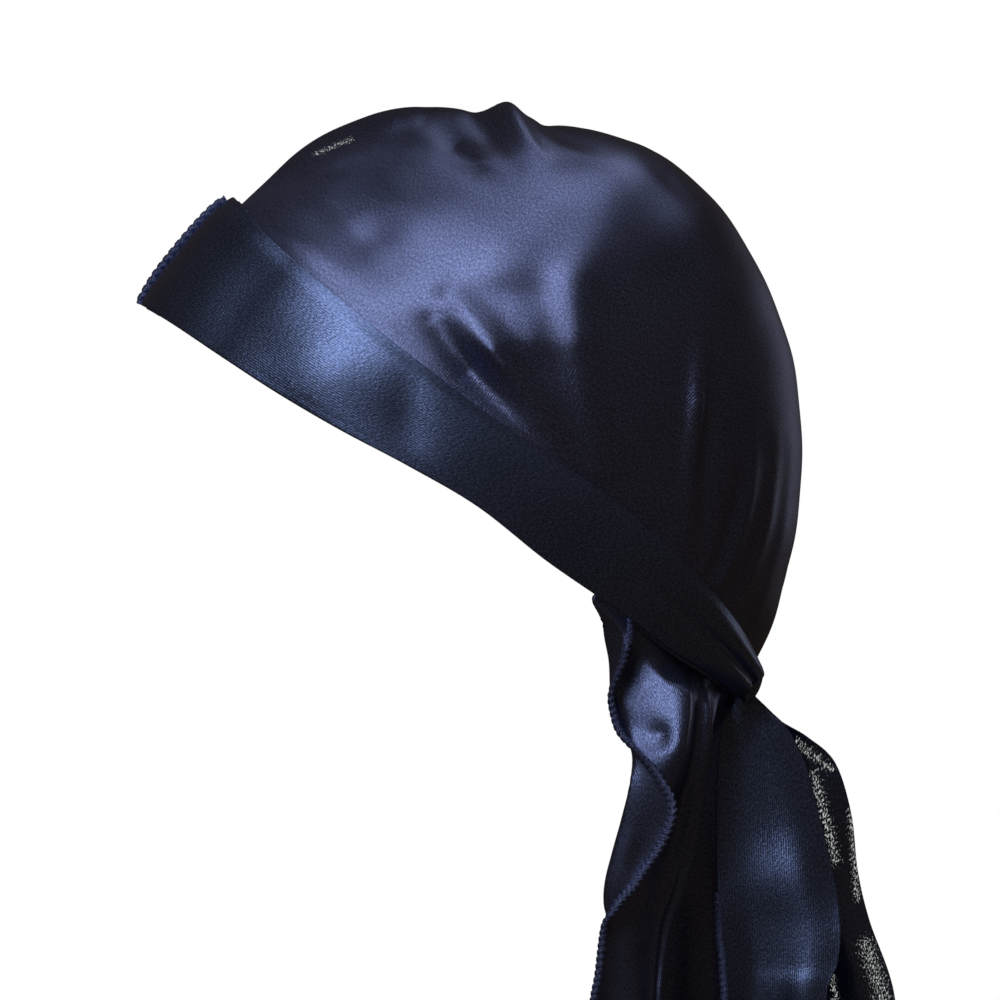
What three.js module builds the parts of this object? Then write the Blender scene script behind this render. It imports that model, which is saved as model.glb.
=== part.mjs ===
// A durag in its worn form: a two-panel cap, a seam over its middle, two wide ties wrapped round the brow,
// a knot at the nape, a tail that hangs from under the ties, and the two ends of the ties.
// Millimetres, +Z up. Its brow faces -Y and its left side is +X.
// The origin is the middle of the opening, halfway between brow and nape on the tilted plane of the ties.
import * as THREE from "three";

// Driving dimensions
const headWidth = 160; // across the cap at its widest
const loopLength = 226; // brow to nape along the plane of the ties
const crownHeight = 115; // that plane to the top of the cap
const loopTilt = THREE.MathUtils.degToRad(36.2); // the plane falls towards the nape by this
const frontInset = 4.5; // the flat of the brow lies this far behind the loop's front end
const frontFlat = [3, 28]; // degrees round the loop over which that flat dies out
const tieWidth = 38; // a tie as folded round the brow
const tieWall = 1.4;
const tieRoll = 3.4; // wall of a tie where it rolls up at the nape
const crownWall = 1.2;
const tailWall = 1;
const tieEndWall = 1;
const foldDepth = 4; // the deepest crease of the cap
const seamWidth = 3.2;
const seamRise = 1.1;
const tailDrop = 270; // where the tail leaves the ties at the side, down to its hem
const tieEndDrop = 206; // knot to the tip of a tie
const knotWidth = 24;
const knotHeight = 16;
const knotDepth = 6;
const edgingHalfWidth = 1.5; // the overlocked thread edge
const edgingHalfHeight = 1.1;
const edgingGap = 0.7; // from the cloth's cut edge
const clearance = 0.35; // between pieces that touch
const tieSeat = 0.8; // between the cap and the ties that wrap it
const hemInset = 3; // the cap's hem hides this far above a tie's lower edge
const foldStart = 1; // the cap's folds come in from this far above a tie's upper edge
const foldFull = 7; // and are whole this far above it
const tailTuck = 1; // the tail leaves the cap's outline this far below a tie

const halfLoop = loopLength / 2;
const halfWidth = headWidth / 2;
const { degToRad, lerp, smoothstep } = THREE.MathUtils;

// Angles go round the loop of the ties: 0 at the brow, 90 at the side, 180 at the nape.
// The cap's height and width are shares of an ellipse; the edges of a tie are shares of tieWidth from the plane;
// roll is how far the tie has rolled up.
const loopTable = [
  { angle: 0, height: 0.55, width: 1.2, top: 0.66, bottom: -0.52, roll: 0 },
  { angle: 12, height: 0.55, width: 1.18, top: 0.66, bottom: -0.52, roll: 0 },
  { angle: 20, height: 0.72, width: 1.17, top: 0.65, bottom: -0.51, roll: 0 },
  { angle: 26, height: 0.96, width: 1.16, top: 0.63, bottom: -0.5, roll: 0 },
  { angle: 36, height: 1.04, width: 1.12, top: 0.56, bottom: -0.48, roll: 0 },
  { angle: 48, height: 1.005, width: 1.075, top: 0.51, bottom: -0.46, roll: 0 },
  { angle: 60, height: 0.975, width: 1.04, top: 0.48, bottom: -0.43, roll: 0 },
  { angle: 72, height: 0.985, width: 1.02, top: 0.45, bottom: -0.37, roll: 0 },
  { angle: 84, height: 1.018, width: 1, top: 0.44, bottom: -0.28, roll: 0 },
  { angle: 96, height: 1.013, width: 1, top: 0.44, bottom: -0.215, roll: 0 },
  { angle: 110, height: 0.99, width: 1, top: 0.48, bottom: -0.24, roll: 0 },
  { angle: 126, height: 0.95, width: 0.99, top: 0.44, bottom: -0.22, roll: 0.1 },
  { angle: 140, height: 0.885, width: 0.965, top: 0.36, bottom: -0.23, roll: 0.35 },
  { angle: 152, height: 0.795, width: 0.95, top: 0.27, bottom: -0.21, roll: 0.7 },
  { angle: 164, height: 0.69, width: 0.95, top: 0.18, bottom: -0.22, roll: 0.95 },
  { angle: 180, height: 0.62, width: 0.96, top: 0.1, bottom: -0.24, roll: 1 },
];

// The cap's folds, seen from the side. Places are shares of loopLength along the plane and of crownHeight above it.
// Rise is a share of foldDepth, and above and below are the fold's widths on its two flanks, as shares of crownHeight.
const LEFT = 1;
const RIGHT = -1;
const BOTH = 0;
const capFolds = [
  { side: LEFT, from: [-0.3, 0.175], to: [0.14, 0.155], bow: 0.034, rise: 0.5, above: 0.03, below: 0.03 },
  { side: LEFT, from: [-0.145, 0.27], to: [0.15, 0.17], bow: 0, rise: -0.85, above: 0.034, below: 0.03 },
  { side: LEFT, from: [-0.07, 0.305], to: [0.07, 0.215], bow: 0, rise: 0.45, above: 0.025, below: 0.02 },
  { side: LEFT, from: [-0.02, 0.35], to: [0.15, 0.19], bow: 0, rise: -0.45, above: 0.035, below: 0.035 },
  { side: LEFT, from: [-0.02, 0.47], to: [0.165, 0.19], bow: 0.02, rise: 0.75, above: 0.035, below: 0.09 },
  { side: LEFT, from: [0.07, 0.53], to: [0.225, 0.2], bow: 0.01, rise: -0.65, above: 0.09, below: 0.07 },
  { side: BOTH, from: [0.155, 0.62], to: [0.31, 0.17], bow: -0.01, rise: 0.55, above: 0.04, below: 0.05 },
  { side: BOTH, from: [0.22, 0.58], to: [0.35, 0.16], bow: 0, rise: -0.4, above: 0.035, below: 0.03 },
  { side: BOTH, from: [0.3, 0.58], to: [0.405, 0.1], bow: 0, rise: 0.45, above: 0.03, below: 0.03 },
  { side: BOTH, from: [0.345, 0.6], to: [0.452, 0.1], bow: 0, rise: 0.35, above: 0.03, below: 0.03 },
  { side: BOTH, from: [-0.262, 0.9], to: [-0.17, 0.8], bow: 0, rise: 0.8, above: 0.05, below: 0.04 },
  { side: LEFT, from: [-0.265, 0.8], to: [-0.19, 0.785], bow: 0, rise: -0.5, above: 0.035, below: 0.035 },
  { side: BOTH, from: [-0.19, 0.9], to: [-0.09, 0.94], bow: 0, rise: 0.3, above: 0.03, below: 0.03 },
  { side: BOTH, from: [-0.46, 0.24], to: [-0.31, 0.56], bow: 0.02, rise: 0.3, above: 0.04, below: 0.04 },
  { side: RIGHT, from: [-0.26, 0.2], to: [0.15, 0.17], bow: 0.04, rise: 0.45, above: 0.035, below: 0.03 },
  { side: RIGHT, from: [-0.08, 0.33], to: [0.17, 0.2], bow: 0.01, rise: -0.7, above: 0.04, below: 0.035 },
  { side: RIGHT, from: [0.01, 0.5], to: [0.2, 0.2], bow: 0.02, rise: 0.65, above: 0.05, below: 0.08 },
  { side: RIGHT, from: [0.1, 0.55], to: [0.25, 0.2], bow: 0.01, rise: -0.5, above: 0.08, below: 0.06 },
];
const sideFade = 12; // a fold of one side dies out this near the middle seam

// Heights of the cap's rows of facets, in degrees up the arch over the crown, close together where the folds are.
const archRows = [4, 7.5, 10, 12.5, 15, 18, 22, 28, 36, 46, 57, 68, 79];

// A value between the rows of a table, on a smooth curve through them.
function tableValue(rows, key, at, column) {
  let i = rows.findIndex((row, n) => n === rows.length - 2 || rows[n + 1][key] >= at);
  i = Math.max(i, 0);
  const slope = (n) => {
    const a = rows[Math.max(n - 1, 0)];
    const b = rows[Math.min(n + 1, rows.length - 1)];
    return (b[column] - a[column]) / (b[key] - a[key]);
  };
  const [a, b] = [rows[i], rows[i + 1]];
  const span = b[key] - a[key];
  const t = THREE.MathUtils.clamp((at - a[key]) / span, 0, 1);
  const hermite = [2 * t ** 3 - 3 * t ** 2 + 1, t ** 3 - 2 * t ** 2 + t, -2 * t ** 3 + 3 * t ** 2, t ** 3 - t ** 2];
  return hermite[0] * a[column] + hermite[1] * span * slope(i) + hermite[2] * b[column] + hermite[3] * span * slope(i + 1);
}
const loopValue = (angle, column) => tableValue(loopTable, "angle", Math.abs(angle), column);

// From the tilted frame of the ties (along towards the nape, across to the left, up to the crown) to the part's.
function place(along, across, up) {
  const c = Math.cos(loopTilt);
  const s = Math.sin(loopTilt);
  return new THREE.Vector3(across, along * c + up * s, -along * s + up * c);
}

// The cap's outline in the plane of the ties.
function outline(angle) {
  const a = degToRad(Math.abs(angle));
  return {
    along: -halfLoop * Math.cos(a) + frontInset * (1 - smoothstep(Math.abs(angle), ...frontFlat)),
    across: Math.sign(angle) * halfWidth * Math.sin(a) * loopValue(angle, "width"),
  };
}
const tieTop = (angle) => tieWidth * loopValue(angle, "top");
const tieBottom = (angle) => tieWidth * loopValue(angle, "bottom");

// How far the folds lift or sink the cap's cloth at a place seen from one side.
function foldLift(along, up, side, across) {
  let lift = 0;
  for (const fold of capFolds) {
    if (fold.side === -side) continue;
    const from = new THREE.Vector2(fold.from[0] * loopLength, fold.from[1] * crownHeight);
    const run = new THREE.Vector2(fold.to[0] * loopLength, fold.to[1] * crownHeight).sub(from);
    const length = run.length();
    run.divideScalar(length);
    const offset = new THREE.Vector2(along, up).sub(from);
    const ahead = offset.dot(run) / length;
    const inside = THREE.MathUtils.clamp(ahead, 0, 1);
    const bow = 4 * fold.bow * crownHeight * inside * (1 - inside);
    const beside = run.cross(offset) - bow;
    const width = (beside > 0 ? fold.above : fold.below) * crownHeight;
    const past = (ahead - inside) * length;
    const fade = fold.side === BOTH ? 1 : smoothstep(Math.abs(across), 0, sideFade);
    lift += fade * fold.rise * foldDepth * Math.exp(-(beside ** 2 + past ** 2) / width ** 2);
  }
  return lift;
}

// A point of the cap's outer face: angle round the loop, arch in degrees from the plane of the ties up to the seam.
function capPoint(angle, arch, side) {
  const { along, across } = outline(angle);
  const height = crownHeight * Math.sin(degToRad(angle)) * loopValue(angle, "height");
  const lift = degToRad(arch);
  const up = lift > 0 ? height * Math.sin(lift) : height * lift;
  const out = lift > 0 ? across * Math.cos(lift) : across;
  const clear = smoothstep(up, tieTop(angle) + foldStart, tieTop(angle) + foldFull);
  const normal = new THREE.Vector3(along / halfLoop ** 2, out / halfWidth ** 2, Math.max(up, 0) / crownHeight ** 2).normalize();
  const rise = clear * foldLift(along, up, side, out);
  return place(along + rise * normal.x, side * (out + rise * normal.y), up + rise * normal.z);
}

const evenly = (count) => Array.from({ length: count + 1 }, (_, i) => i / count);
const gridOf = (us, vs, pointAt) => us.map((u, i) => vs.map((v, j) => pointAt(u, v, i, j)));

// The way out of a grid of points at one of them, and its two directions there.
function gridFrame(grid, i, j, outward) {
  const last = { i: grid.length - 1, j: grid[0].length - 1 };
  const du = grid[Math.min(i + 1, last.i)][j].clone().sub(grid[Math.max(i - 1, 0)][j]).normalize();
  const dv = grid[i][Math.min(j + 1, last.j)].clone().sub(grid[i][Math.max(j - 1, 0)]).normalize();
  return { du, dv, up: du.clone().cross(dv).normalize().multiplyScalar(outward) };
}

// A closed wall of cloth behind a grid of points on its outer face. outward is 1 or -1, by which way round the grid runs.
function wallSolid(grid, wallAt, outward = 1) {
  const columns = grid.length - 1;
  const rows = grid[0].length - 1;
  const outer = grid.flat();
  const inner = outer.map((p, n) => {
    const i = Math.floor(n / (rows + 1));
    const j = n % (rows + 1);
    const thickness = typeof wallAt === "function" ? wallAt(i, j) : wallAt;
    return p.clone().addScaledVector(gridFrame(grid, i, j, outward).up, -thickness);
  });
  const index = (i, j, face) => face * outer.length + i * (rows + 1) + j;
  const faces = [];
  const quad = (a, b, c, d) => faces.push(a, b, c, a, c, d);
  for (let i = 0; i < columns; i++)
    for (let j = 0; j < rows; j++) {
      quad(index(i, j, 0), index(i + 1, j, 0), index(i + 1, j + 1, 0), index(i, j + 1, 0));
      quad(index(i, j, 1), index(i, j + 1, 1), index(i + 1, j + 1, 1), index(i + 1, j, 1));
    }
  for (let i = 0; i < columns; i++) {
    quad(index(i, 0, 0), index(i, 0, 1), index(i + 1, 0, 1), index(i + 1, 0, 0));
    quad(index(i, rows, 0), index(i + 1, rows, 0), index(i + 1, rows, 1), index(i, rows, 1));
  }
  for (let j = 0; j < rows; j++) {
    quad(index(0, j, 0), index(0, j + 1, 0), index(0, j + 1, 1), index(0, j, 1));
    quad(index(columns, j, 0), index(columns, j, 1), index(columns, j + 1, 1), index(columns, j + 1, 0));
  }
  return closed([...outer, ...inner], faces, outward < 0);
}

// A geometry from points and triangles, turned inside out if asked.
function closed(points, faces, flip) {
  if (flip) for (let n = 0; n < faces.length; n += 3) [faces[n + 1], faces[n + 2]] = [faces[n + 2], faces[n + 1]];
  return new THREE.BufferGeometry().setFromPoints(points).setIndex(faces);
}

// An overlocked edge: a flattened tube of thread. Each station holds a point of the cloth's edge, the way out of it in the
// plane of the cloth, and the way up from the cloth.
const edgingSides = 5;
function edging(stations) {
  const points = stations.flatMap(({ at, out, up }) =>
    Array.from({ length: edgingSides }, (_, n) => {
      const a = (2 * Math.PI * n) / edgingSides;
      const sideways = edgingGap + edgingHalfWidth * (1 + Math.cos(a));
      return at.clone().addScaledVector(out, sideways).addScaledVector(up, edgingHalfHeight * Math.sin(a));
    }),
  );
  const last = stations.length - 1;
  const faces = [];
  for (let i = 0; i < last; i++)
    for (let n = 0; n < edgingSides; n++) {
      const [a, b] = [i * edgingSides + n, i * edgingSides + ((n + 1) % edgingSides)];
      faces.push(a, b, b + edgingSides, a, b + edgingSides, a + edgingSides);
    }
  for (let n = 1; n < edgingSides - 1; n++) {
    faces.push(0, n + 1, n);
    faces.push(last * edgingSides, last * edgingSides + n, last * edgingSides + n + 1);
  }
  const { at, out, up } = stations[0];
  const turn = out.clone().cross(up).dot(stations[1].at.clone().sub(at));
  return closed(points, faces, turn < 0);
}

// The stations of an edging round a wall: places are [i, j] pairs on the border of its grid.
function borderStations(grid, places, wall, outward) {
  const last = { i: grid.length - 1, j: grid[0].length - 1 };
  return places.map(([i, j]) => {
    const { du, dv, up } = gridFrame(grid, i, j, outward);
    const onSide = i === 0 || i === last.i;
    const onEnd = j === 0 || j === last.j;
    const out = new THREE.Vector3();
    if (onSide) out.addScaledVector(du, i === 0 ? -1 : 1);
    if (onEnd) out.addScaledVector(dv, j === 0 ? -1 : 1);
    if (onSide !== onEnd) {
      const border = onSide ? dv : du;
      out.addScaledVector(border, -out.dot(border));
    }
    out.addScaledVector(up, -out.dot(up)).normalize();
    return { at: grid[i][j].clone().addScaledVector(up, -wall / 2), out, up };
  });
}
// The border down column 0 from row start, along the last row, and up the last column to row stop.
function borderPlaces(grid, start, stop) {
  const last = { i: grid.length - 1, j: grid[0].length - 1 };
  const rowsFrom = (row) => Array.from({ length: last.j + 1 - row }, (_, n) => n + row);
  const along = Array.from({ length: last.i - 1 }, (_, n) => n + 1);
  const up = rowsFrom(stop).reverse();
  return [...rowsFrom(start).map((j) => [0, j]), ...along.map((i) => [i, last.j]), ...up.map((j) => [last.i, j])];
}

const satin = (colour) => new THREE.MeshStandardMaterial({ color: colour, roughness: 0.38, metalness: 0.35 });
const materials = {
  cap: satin(0x1a2352),
  tie: satin(0x1c2656),
  tail: satin(0x1b2454),
  thread: new THREE.MeshStandardMaterial({ color: 0x22306e, roughness: 0.7, metalness: 0 }),
};
const durag = new THREE.Group();
function add(name, geometry, material) {
  const mesh = new THREE.Mesh(geometry, material);
  mesh.name = name;
  durag.add(mesh);
}

// The cap: two panels that meet at the middle seam, from near the brow to near the nape
const capStart = 6;
const capEnd = 176;
const tailAngle = { left: 120, right: 124 }; // the tail's side edges leave the ties here
const seamGap = 0.3;
const tailSeamUp = 0.8; // the tail is sewn to the cap this far above the plane of the ties
const hemRise = { from: 10, to: 5.5 }; // degrees before the tail's left edge over which the hem rises to that seam
function capHem(angle) {
  const hidden = tieBottom(angle) + hemInset;
  return lerp(hidden, tailSeamUp + clearance, smoothstep(angle, tailAngle.left - hemRise.from, tailAngle.left - hemRise.to));
}
const capColumns = 35;
const capAngles = evenly(capColumns).map((u) => lerp(capStart, capEnd, u));
function panelGrid(side) {
  return capAngles.map((angle) => {
    const height = crownHeight * Math.sin(degToRad(angle)) * loopValue(angle, "height");
    const hem = capHem(angle);
    const hemArch = THREE.MathUtils.radToDeg(hem < 0 ? hem / height : Math.asin(Math.min(hem / height, 0.5)));
    const { across } = outline(angle);
    const seamArch = 90 - THREE.MathUtils.radToDeg(Math.asin(Math.min(seamGap / Math.max(across, seamGap), 1)));
    return [hemArch, ...archRows, seamArch].map((arch, j) => capPoint(angle, Math.max(arch, hemArch + 0.25 * j), side));
  });
}
for (const [name, side] of [["cap_panel_left", LEFT], ["cap_panel_right", RIGHT]])
  add(name, wallSolid(panelGrid(side), crownWall, side), materials.cap);

// The middle seam: a raised welt that straddles the gap between the panels
const seamAngles = capAngles.slice(3, -1);
const weltHeight = (v) => seamRise * (1 - 0.45 * Math.abs(2 * v - 1));
const welt = gridOf(seamAngles, evenly(2), (angle, v) => {
  const ahead = capPoint(angle + 1, 90, LEFT).sub(capPoint(angle - 1, 90, LEFT)).normalize();
  const out = new THREE.Vector3(1, 0, 0).cross(ahead);
  const sideways = new THREE.Vector3((0.5 - v) * seamWidth, 0, 0);
  return capPoint(angle, 90, LEFT).addScaledVector(out, clearance + weltHeight(v)).add(sideways);
});
add("centre_seam", wallSolid(welt, (i, j) => weltHeight(j / 2)), materials.tie);

// The ties: each wraps the cap from the knot to the brow, where the left one lies over the right one
const tieEndAngle = 171;
const overlapAngle = 26; // the right tie ends hidden under the left one
const overlapEase = { from: 6, to: 20 }; // degrees past that end over which the left tie settles down beside it
const crossing = { top: 7, bottom: 1.5 }; // the left tie's sewn edge slants over the middle of the brow
const tieBulge = { front: 3.4, side: 0.8 }; // a tie stands off the cap between its two edges
const bulgeEnd = 60; // degrees round the loop where it has thinned to its side value
function tiePoint(angle, v, lift) {
  const up = lerp(tieBottom(angle), tieTop(angle), v);
  const narrowing = up > 0 ? Math.sqrt(1 - (up / crownHeight) ** 2) : 1;
  const { along, across } = outline(angle);
  const out = new THREE.Vector2(along / halfLoop ** 2, across / halfWidth ** 2).normalize();
  const bulge = lerp(tieBulge.front, tieBulge.side, smoothstep(Math.abs(angle), 0, bulgeEnd));
  const rise = tieSeat + lift + bulge * Math.sqrt(Math.sin(Math.PI * v));
  return place(along * narrowing + rise * out.x, across * narrowing + rise * out.y, up);
}
const tieThickness = (angle) => lerp(tieWall, tieRoll, loopValue(angle, "roll"));
const tieColumns = evenly(31);
const tieRows = [0, 0.15, 0.5, 0.85, 1];
const rightTieAngles = tieColumns.map((u) => lerp(-tieEndAngle, overlapAngle, u));
const rightTie = gridOf(rightTieAngles, tieRows, (angle, v) => tiePoint(angle, v, tieThickness(angle)));
add("tie_right", wallSolid(rightTie, (i) => tieThickness(rightTieAngles[i])), materials.tie);
function leftTieLift(angle) {
  const over = 1 - smoothstep(angle, overlapAngle + overlapEase.from, overlapAngle + overlapEase.to);
  return over * (tieWall + tieSeat);
}
const leftTie = gridOf(tieColumns, tieRows, (u, v) => {
  const angle = lerp(lerp(crossing.bottom, crossing.top, v), tieEndAngle, u);
  return tiePoint(angle, v, leftTieLift(angle) + tieThickness(angle));
});
add("tie_left", wallSolid(leftTie, (i) => tieThickness(tieColumns[i] * tieEndAngle)), materials.tie);

const browStations = [0, 0.05, 0.1, 0.15, 0.32, 0.5, 0.68, 0.85, 0.9, 0.95, 1].map((v) => {
  const start = lerp(crossing.bottom, crossing.top, v);
  const lift = leftTieLift(start);
  const at = tiePoint(start, v, lift + edgingHalfHeight);
  const out = tiePoint(start - 1, v, lift).sub(tiePoint(start + 1, v, lift)).normalize();
  const climb = tiePoint(start, Math.min(v + 0.05, 1), lift).sub(tiePoint(start, Math.max(v - 0.05, 0), lift));
  const up = climb.cross(out).normalize();
  return { at, out, up };
});
add("brow_edging", edging(browStations), materials.thread);

// The knot: the ties' wrap at the nape, a rounded block with slanting creases, deeper at its foot
const knotColumns = 18;
const knotRows = 10;
const knotSeatUp = -4;
const knotSeat = 2; // the tie ends meet the knot's rounded underside this far above its lowest point
const knotFlare = 0.35; // the foot is deeper than the middle by this share, the top shallower by as much
const knotCreases = [0.45, -0.35];
function knotGeometry() {
  const ball = new THREE.SphereGeometry(1, knotColumns, knotRows);
  const at = ball.getAttribute("position");
  const square = (value, power) => Math.sign(value) * Math.abs(value) ** power;
  for (let i = 0; i < at.count; i++) {
    const [x, y, z] = [at.getX(i), at.getY(i), at.getZ(i)];
    const crease = knotCreases.reduce((sum, place) => sum + 0.09 * Math.exp(-(((x + 0.8 * y - place) / 0.2) ** 2)), 0);
    const depth = knotDepth * (1 - knotFlare * y) * (1 - crease);
    const along = halfLoop + clearance + (depth / 2) * (1 + square(z, 0.75));
    const p = place(along, (-knotWidth / 2) * square(x, 0.75), knotSeatUp + (knotHeight / 2) * square(y, 0.75));
    at.setXYZ(i, p.x, p.y, p.z);
  }
  ball.deleteAttribute("normal");
  ball.deleteAttribute("uv");
  return ball;
}
const knot = knotGeometry();
add("knot", knot, materials.tie);

// The tail: rows of its left half down the drop. Back is a share of halfLoop, side a share of halfWidth, drop a share of
// tailDrop. Edge is the sewn edge, turn the fold beside it, patch the flat between, and pleat the last ridge before the nape.
const tailTable = [
  { drop: 0, edgeBack: 0.363, edgeSide: 0.865, turnBack: 0.41, turnSide: 0.83, patchBack: 0.5, patchSide: 0.75, pleatBack: 0.685, pleatSide: 0.43 },
  { drop: 0.022, edgeBack: 0.394, edgeSide: 0.857, turnBack: 0.383, turnSide: 0.825, patchBack: 0.505, patchSide: 0.74, pleatBack: 0.685, pleatSide: 0.43 },
  { drop: 0.05, edgeBack: 0.462, edgeSide: 0.83, turnBack: 0.381, turnSide: 0.815, patchBack: 0.515, patchSide: 0.72, pleatBack: 0.685, pleatSide: 0.43 },
  { drop: 0.076, edgeBack: 0.442, edgeSide: 0.825, turnBack: 0.394, turnSide: 0.795, patchBack: 0.525, patchSide: 0.71, pleatBack: 0.685, pleatSide: 0.43 },
  { drop: 0.113, edgeBack: 0.412, edgeSide: 0.81, turnBack: 0.423, turnSide: 0.765, patchBack: 0.53, patchSide: 0.7, pleatBack: 0.685, pleatSide: 0.43 },
  { drop: 0.135, edgeBack: 0.416, edgeSide: 0.806, turnBack: 0.452, turnSide: 0.76, patchBack: 0.53, patchSide: 0.695, pleatBack: 0.684, pleatSide: 0.43 },
  { drop: 0.157, edgeBack: 0.434, edgeSide: 0.806, turnBack: 0.469, turnSide: 0.76, patchBack: 0.53, patchSide: 0.69, pleatBack: 0.68, pleatSide: 0.435 },
  { drop: 0.183, edgeBack: 0.487, edgeSide: 0.82, turnBack: 0.487, turnSide: 0.756, patchBack: 0.528, patchSide: 0.69, pleatBack: 0.672, pleatSide: 0.44 },
  { drop: 0.213, edgeBack: 0.54, edgeSide: 0.825, turnBack: 0.488, turnSide: 0.756, patchBack: 0.525, patchSide: 0.69, pleatBack: 0.66, pleatSide: 0.45 },
  { drop: 0.235, edgeBack: 0.568, edgeSide: 0.825, turnBack: 0.471, turnSide: 0.756, patchBack: 0.52, patchSide: 0.69, pleatBack: 0.652, pleatSide: 0.455 },
  { drop: 0.265, edgeBack: 0.563, edgeSide: 0.818, turnBack: 0.447, turnSide: 0.756, patchBack: 0.51, patchSide: 0.685, pleatBack: 0.645, pleatSide: 0.46 },
  { drop: 0.298, edgeBack: 0.524, edgeSide: 0.812, turnBack: 0.419, turnSide: 0.75, patchBack: 0.5, patchSide: 0.68, pleatBack: 0.635, pleatSide: 0.47 },
  { drop: 0.332, edgeBack: 0.472, edgeSide: 0.8, turnBack: 0.396, turnSide: 0.744, patchBack: 0.49, patchSide: 0.675, pleatBack: 0.615, pleatSide: 0.485 },
  { drop: 0.357, edgeBack: 0.423, edgeSide: 0.781, turnBack: 0.396, turnSide: 0.735, patchBack: 0.48, patchSide: 0.675, pleatBack: 0.6, pleatSide: 0.5 },
  { drop: 0.38, edgeBack: 0.395, edgeSide: 0.769, turnBack: 0.415, turnSide: 0.725, patchBack: 0.465, patchSide: 0.67, pleatBack: 0.58, pleatSide: 0.52 },
  { drop: 0.424, edgeBack: 0.381, edgeSide: 0.756, turnBack: 0.418, turnSide: 0.715, patchBack: 0.45, patchSide: 0.665, pleatBack: 0.545, pleatSide: 0.55 },
  { drop: 0.469, edgeBack: 0.365, edgeSide: 0.75, turnBack: 0.405, turnSide: 0.706, patchBack: 0.438, patchSide: 0.66, pleatBack: 0.517, pleatSide: 0.575 },
  { drop: 0.557, edgeBack: 0.372, edgeSide: 0.744, turnBack: 0.41, turnSide: 0.694, patchBack: 0.442, patchSide: 0.65, pleatBack: 0.525, pleatSide: 0.56 },
  { drop: 0.63, edgeBack: 0.4, edgeSide: 0.75, turnBack: 0.381, turnSide: 0.7, patchBack: 0.447, patchSide: 0.64, pleatBack: 0.54, pleatSide: 0.545 },
  { drop: 0.705, edgeBack: 0.425, edgeSide: 0.752, turnBack: 0.367, turnSide: 0.7, patchBack: 0.45, patchSide: 0.63, pleatBack: 0.555, pleatSide: 0.535 },
  { drop: 0.78, edgeBack: 0.405, edgeSide: 0.745, turnBack: 0.367, turnSide: 0.694, patchBack: 0.453, patchSide: 0.62, pleatBack: 0.566, pleatSide: 0.525 },
  { drop: 0.853, edgeBack: 0.385, edgeSide: 0.73, turnBack: 0.385, turnSide: 0.681, patchBack: 0.456, patchSide: 0.61, pleatBack: 0.575, pleatSide: 0.515 },
  { drop: 0.927, edgeBack: 0.37, edgeSide: 0.719, turnBack: 0.407, turnSide: 0.669, patchBack: 0.46, patchSide: 0.605, pleatBack: 0.58, pleatSide: 0.51 },
  { drop: 1, edgeBack: 0.372, edgeSide: 0.712, turnBack: 0.416, turnSide: 0.662, patchBack: 0.46, patchSide: 0.6, pleatBack: 0.584, pleatSide: 0.5 },
];
// The columns of a row, as places across the half tail, and how each lies: between two named columns and pushed out or in.
const pleatPush = 0.022;
const tailColumns = [
  { across: 0, of: (r) => [r.edgeBack, r.edgeSide] },
  { across: 0.18, of: (r) => [r.turnBack, r.turnSide] },
  { across: 0.34, of: (r) => [r.patchBack, r.patchSide] },
  { across: 0.47, of: (r) => between(r, 0.5, -pleatPush) },
  { across: 0.54, of: (r) => between(r, 0.66, pleatPush) },
  { across: 0.61, of: (r) => between(r, 0.8, -pleatPush) },
  { across: 0.69, of: (r) => [r.pleatBack, r.pleatSide] },
  { across: 0.79, of: (r) => [r.pleatBack - 0.055, 0.31] },
  { across: 0.89, of: (r) => [lerp(r.pleatBack, 0.66, 0.75), 0.16] },
  { across: 0.95, of: () => [0.7, 0.075] },
  { across: 1, of: () => [0.735, 0] },
];
function between(row, share, push) {
  const back = lerp(row.patchBack, row.pleatBack, share) + push;
  return [back, lerp(row.patchSide, row.pleatSide, share) + push];
}
const rightShift = 0.025; // the right half's curls lie this much of the drop lower
const rightBack = 0.05; // and its edge lies this share of halfLoop further back
const rowKeys = Object.keys(tailTable[0]).filter((key) => key !== "drop");
function tailRow(drop) {
  return Object.fromEntries(rowKeys.map((key) => [key, tableValue(tailTable, "drop", drop, key)]));
}
function curtain(across, drop, side) {
  const shifted = side === LEFT ? drop : lerp(drop, Math.max(drop - rightShift, 0), smoothstep(drop, 0.06, 0.2));
  const row = tailRow(shifted);
  const curve = tailColumns.map(({ across: x, of }) => ({ x, back: of(row)[0], side: of(row)[1] }));
  const back = side === LEFT ? 0 : rightBack * (1 - across) ** 2;
  return {
    y: halfLoop * (tableValue(curve, "x", across, "back") + back),
    x: side * halfWidth * tableValue(curve, "x", across, "side"),
  };
}
const tailTop = place(outline(tailAngle.left).along, 0, tieBottom(tailAngle.left)).z;
const rowCrowding = 1.3; // the rows lie closer together at the top, where the edge curls
const underTie = 0.1; // this share of the tail's rows lies under the ties
const settle = { side: 0.09, nape: 0.06 }; // shares of the drop over which the cloth leaves the cap's outline
// across runs from 0 at the left edge to 1 at the right edge, and down from the seam to the hem.
function tailPoint(across, down) {
  const side = across <= 0.5 ? LEFT : RIGHT;
  const half = side === LEFT ? 2 * across : 2 * (1 - across);
  const angle = lerp(side === LEFT ? tailAngle.left : tailAngle.right, 180, half);
  const { along, across: out } = outline(angle);
  const leave = tieBottom(angle) - tailTuck;
  if (down <= underTie) return place(along, side * out, lerp(tailSeamUp, leave, down / underTie));
  const from = place(along, side * out, leave);
  const hem = tailTop - tailDrop;
  const z = lerp(from.z, hem, ((down - underTie) / (1 - underTie)) ** rowCrowding);
  const hang = curtain(half, (tailTop - z) / tailDrop, side);
  const weight = smoothstep((from.z - z) / tailDrop, 0, lerp(settle.side, settle.nape, half));
  return new THREE.Vector3(lerp(from.x, hang.x, weight), lerp(from.y, hang.y, weight), z);
}
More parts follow.
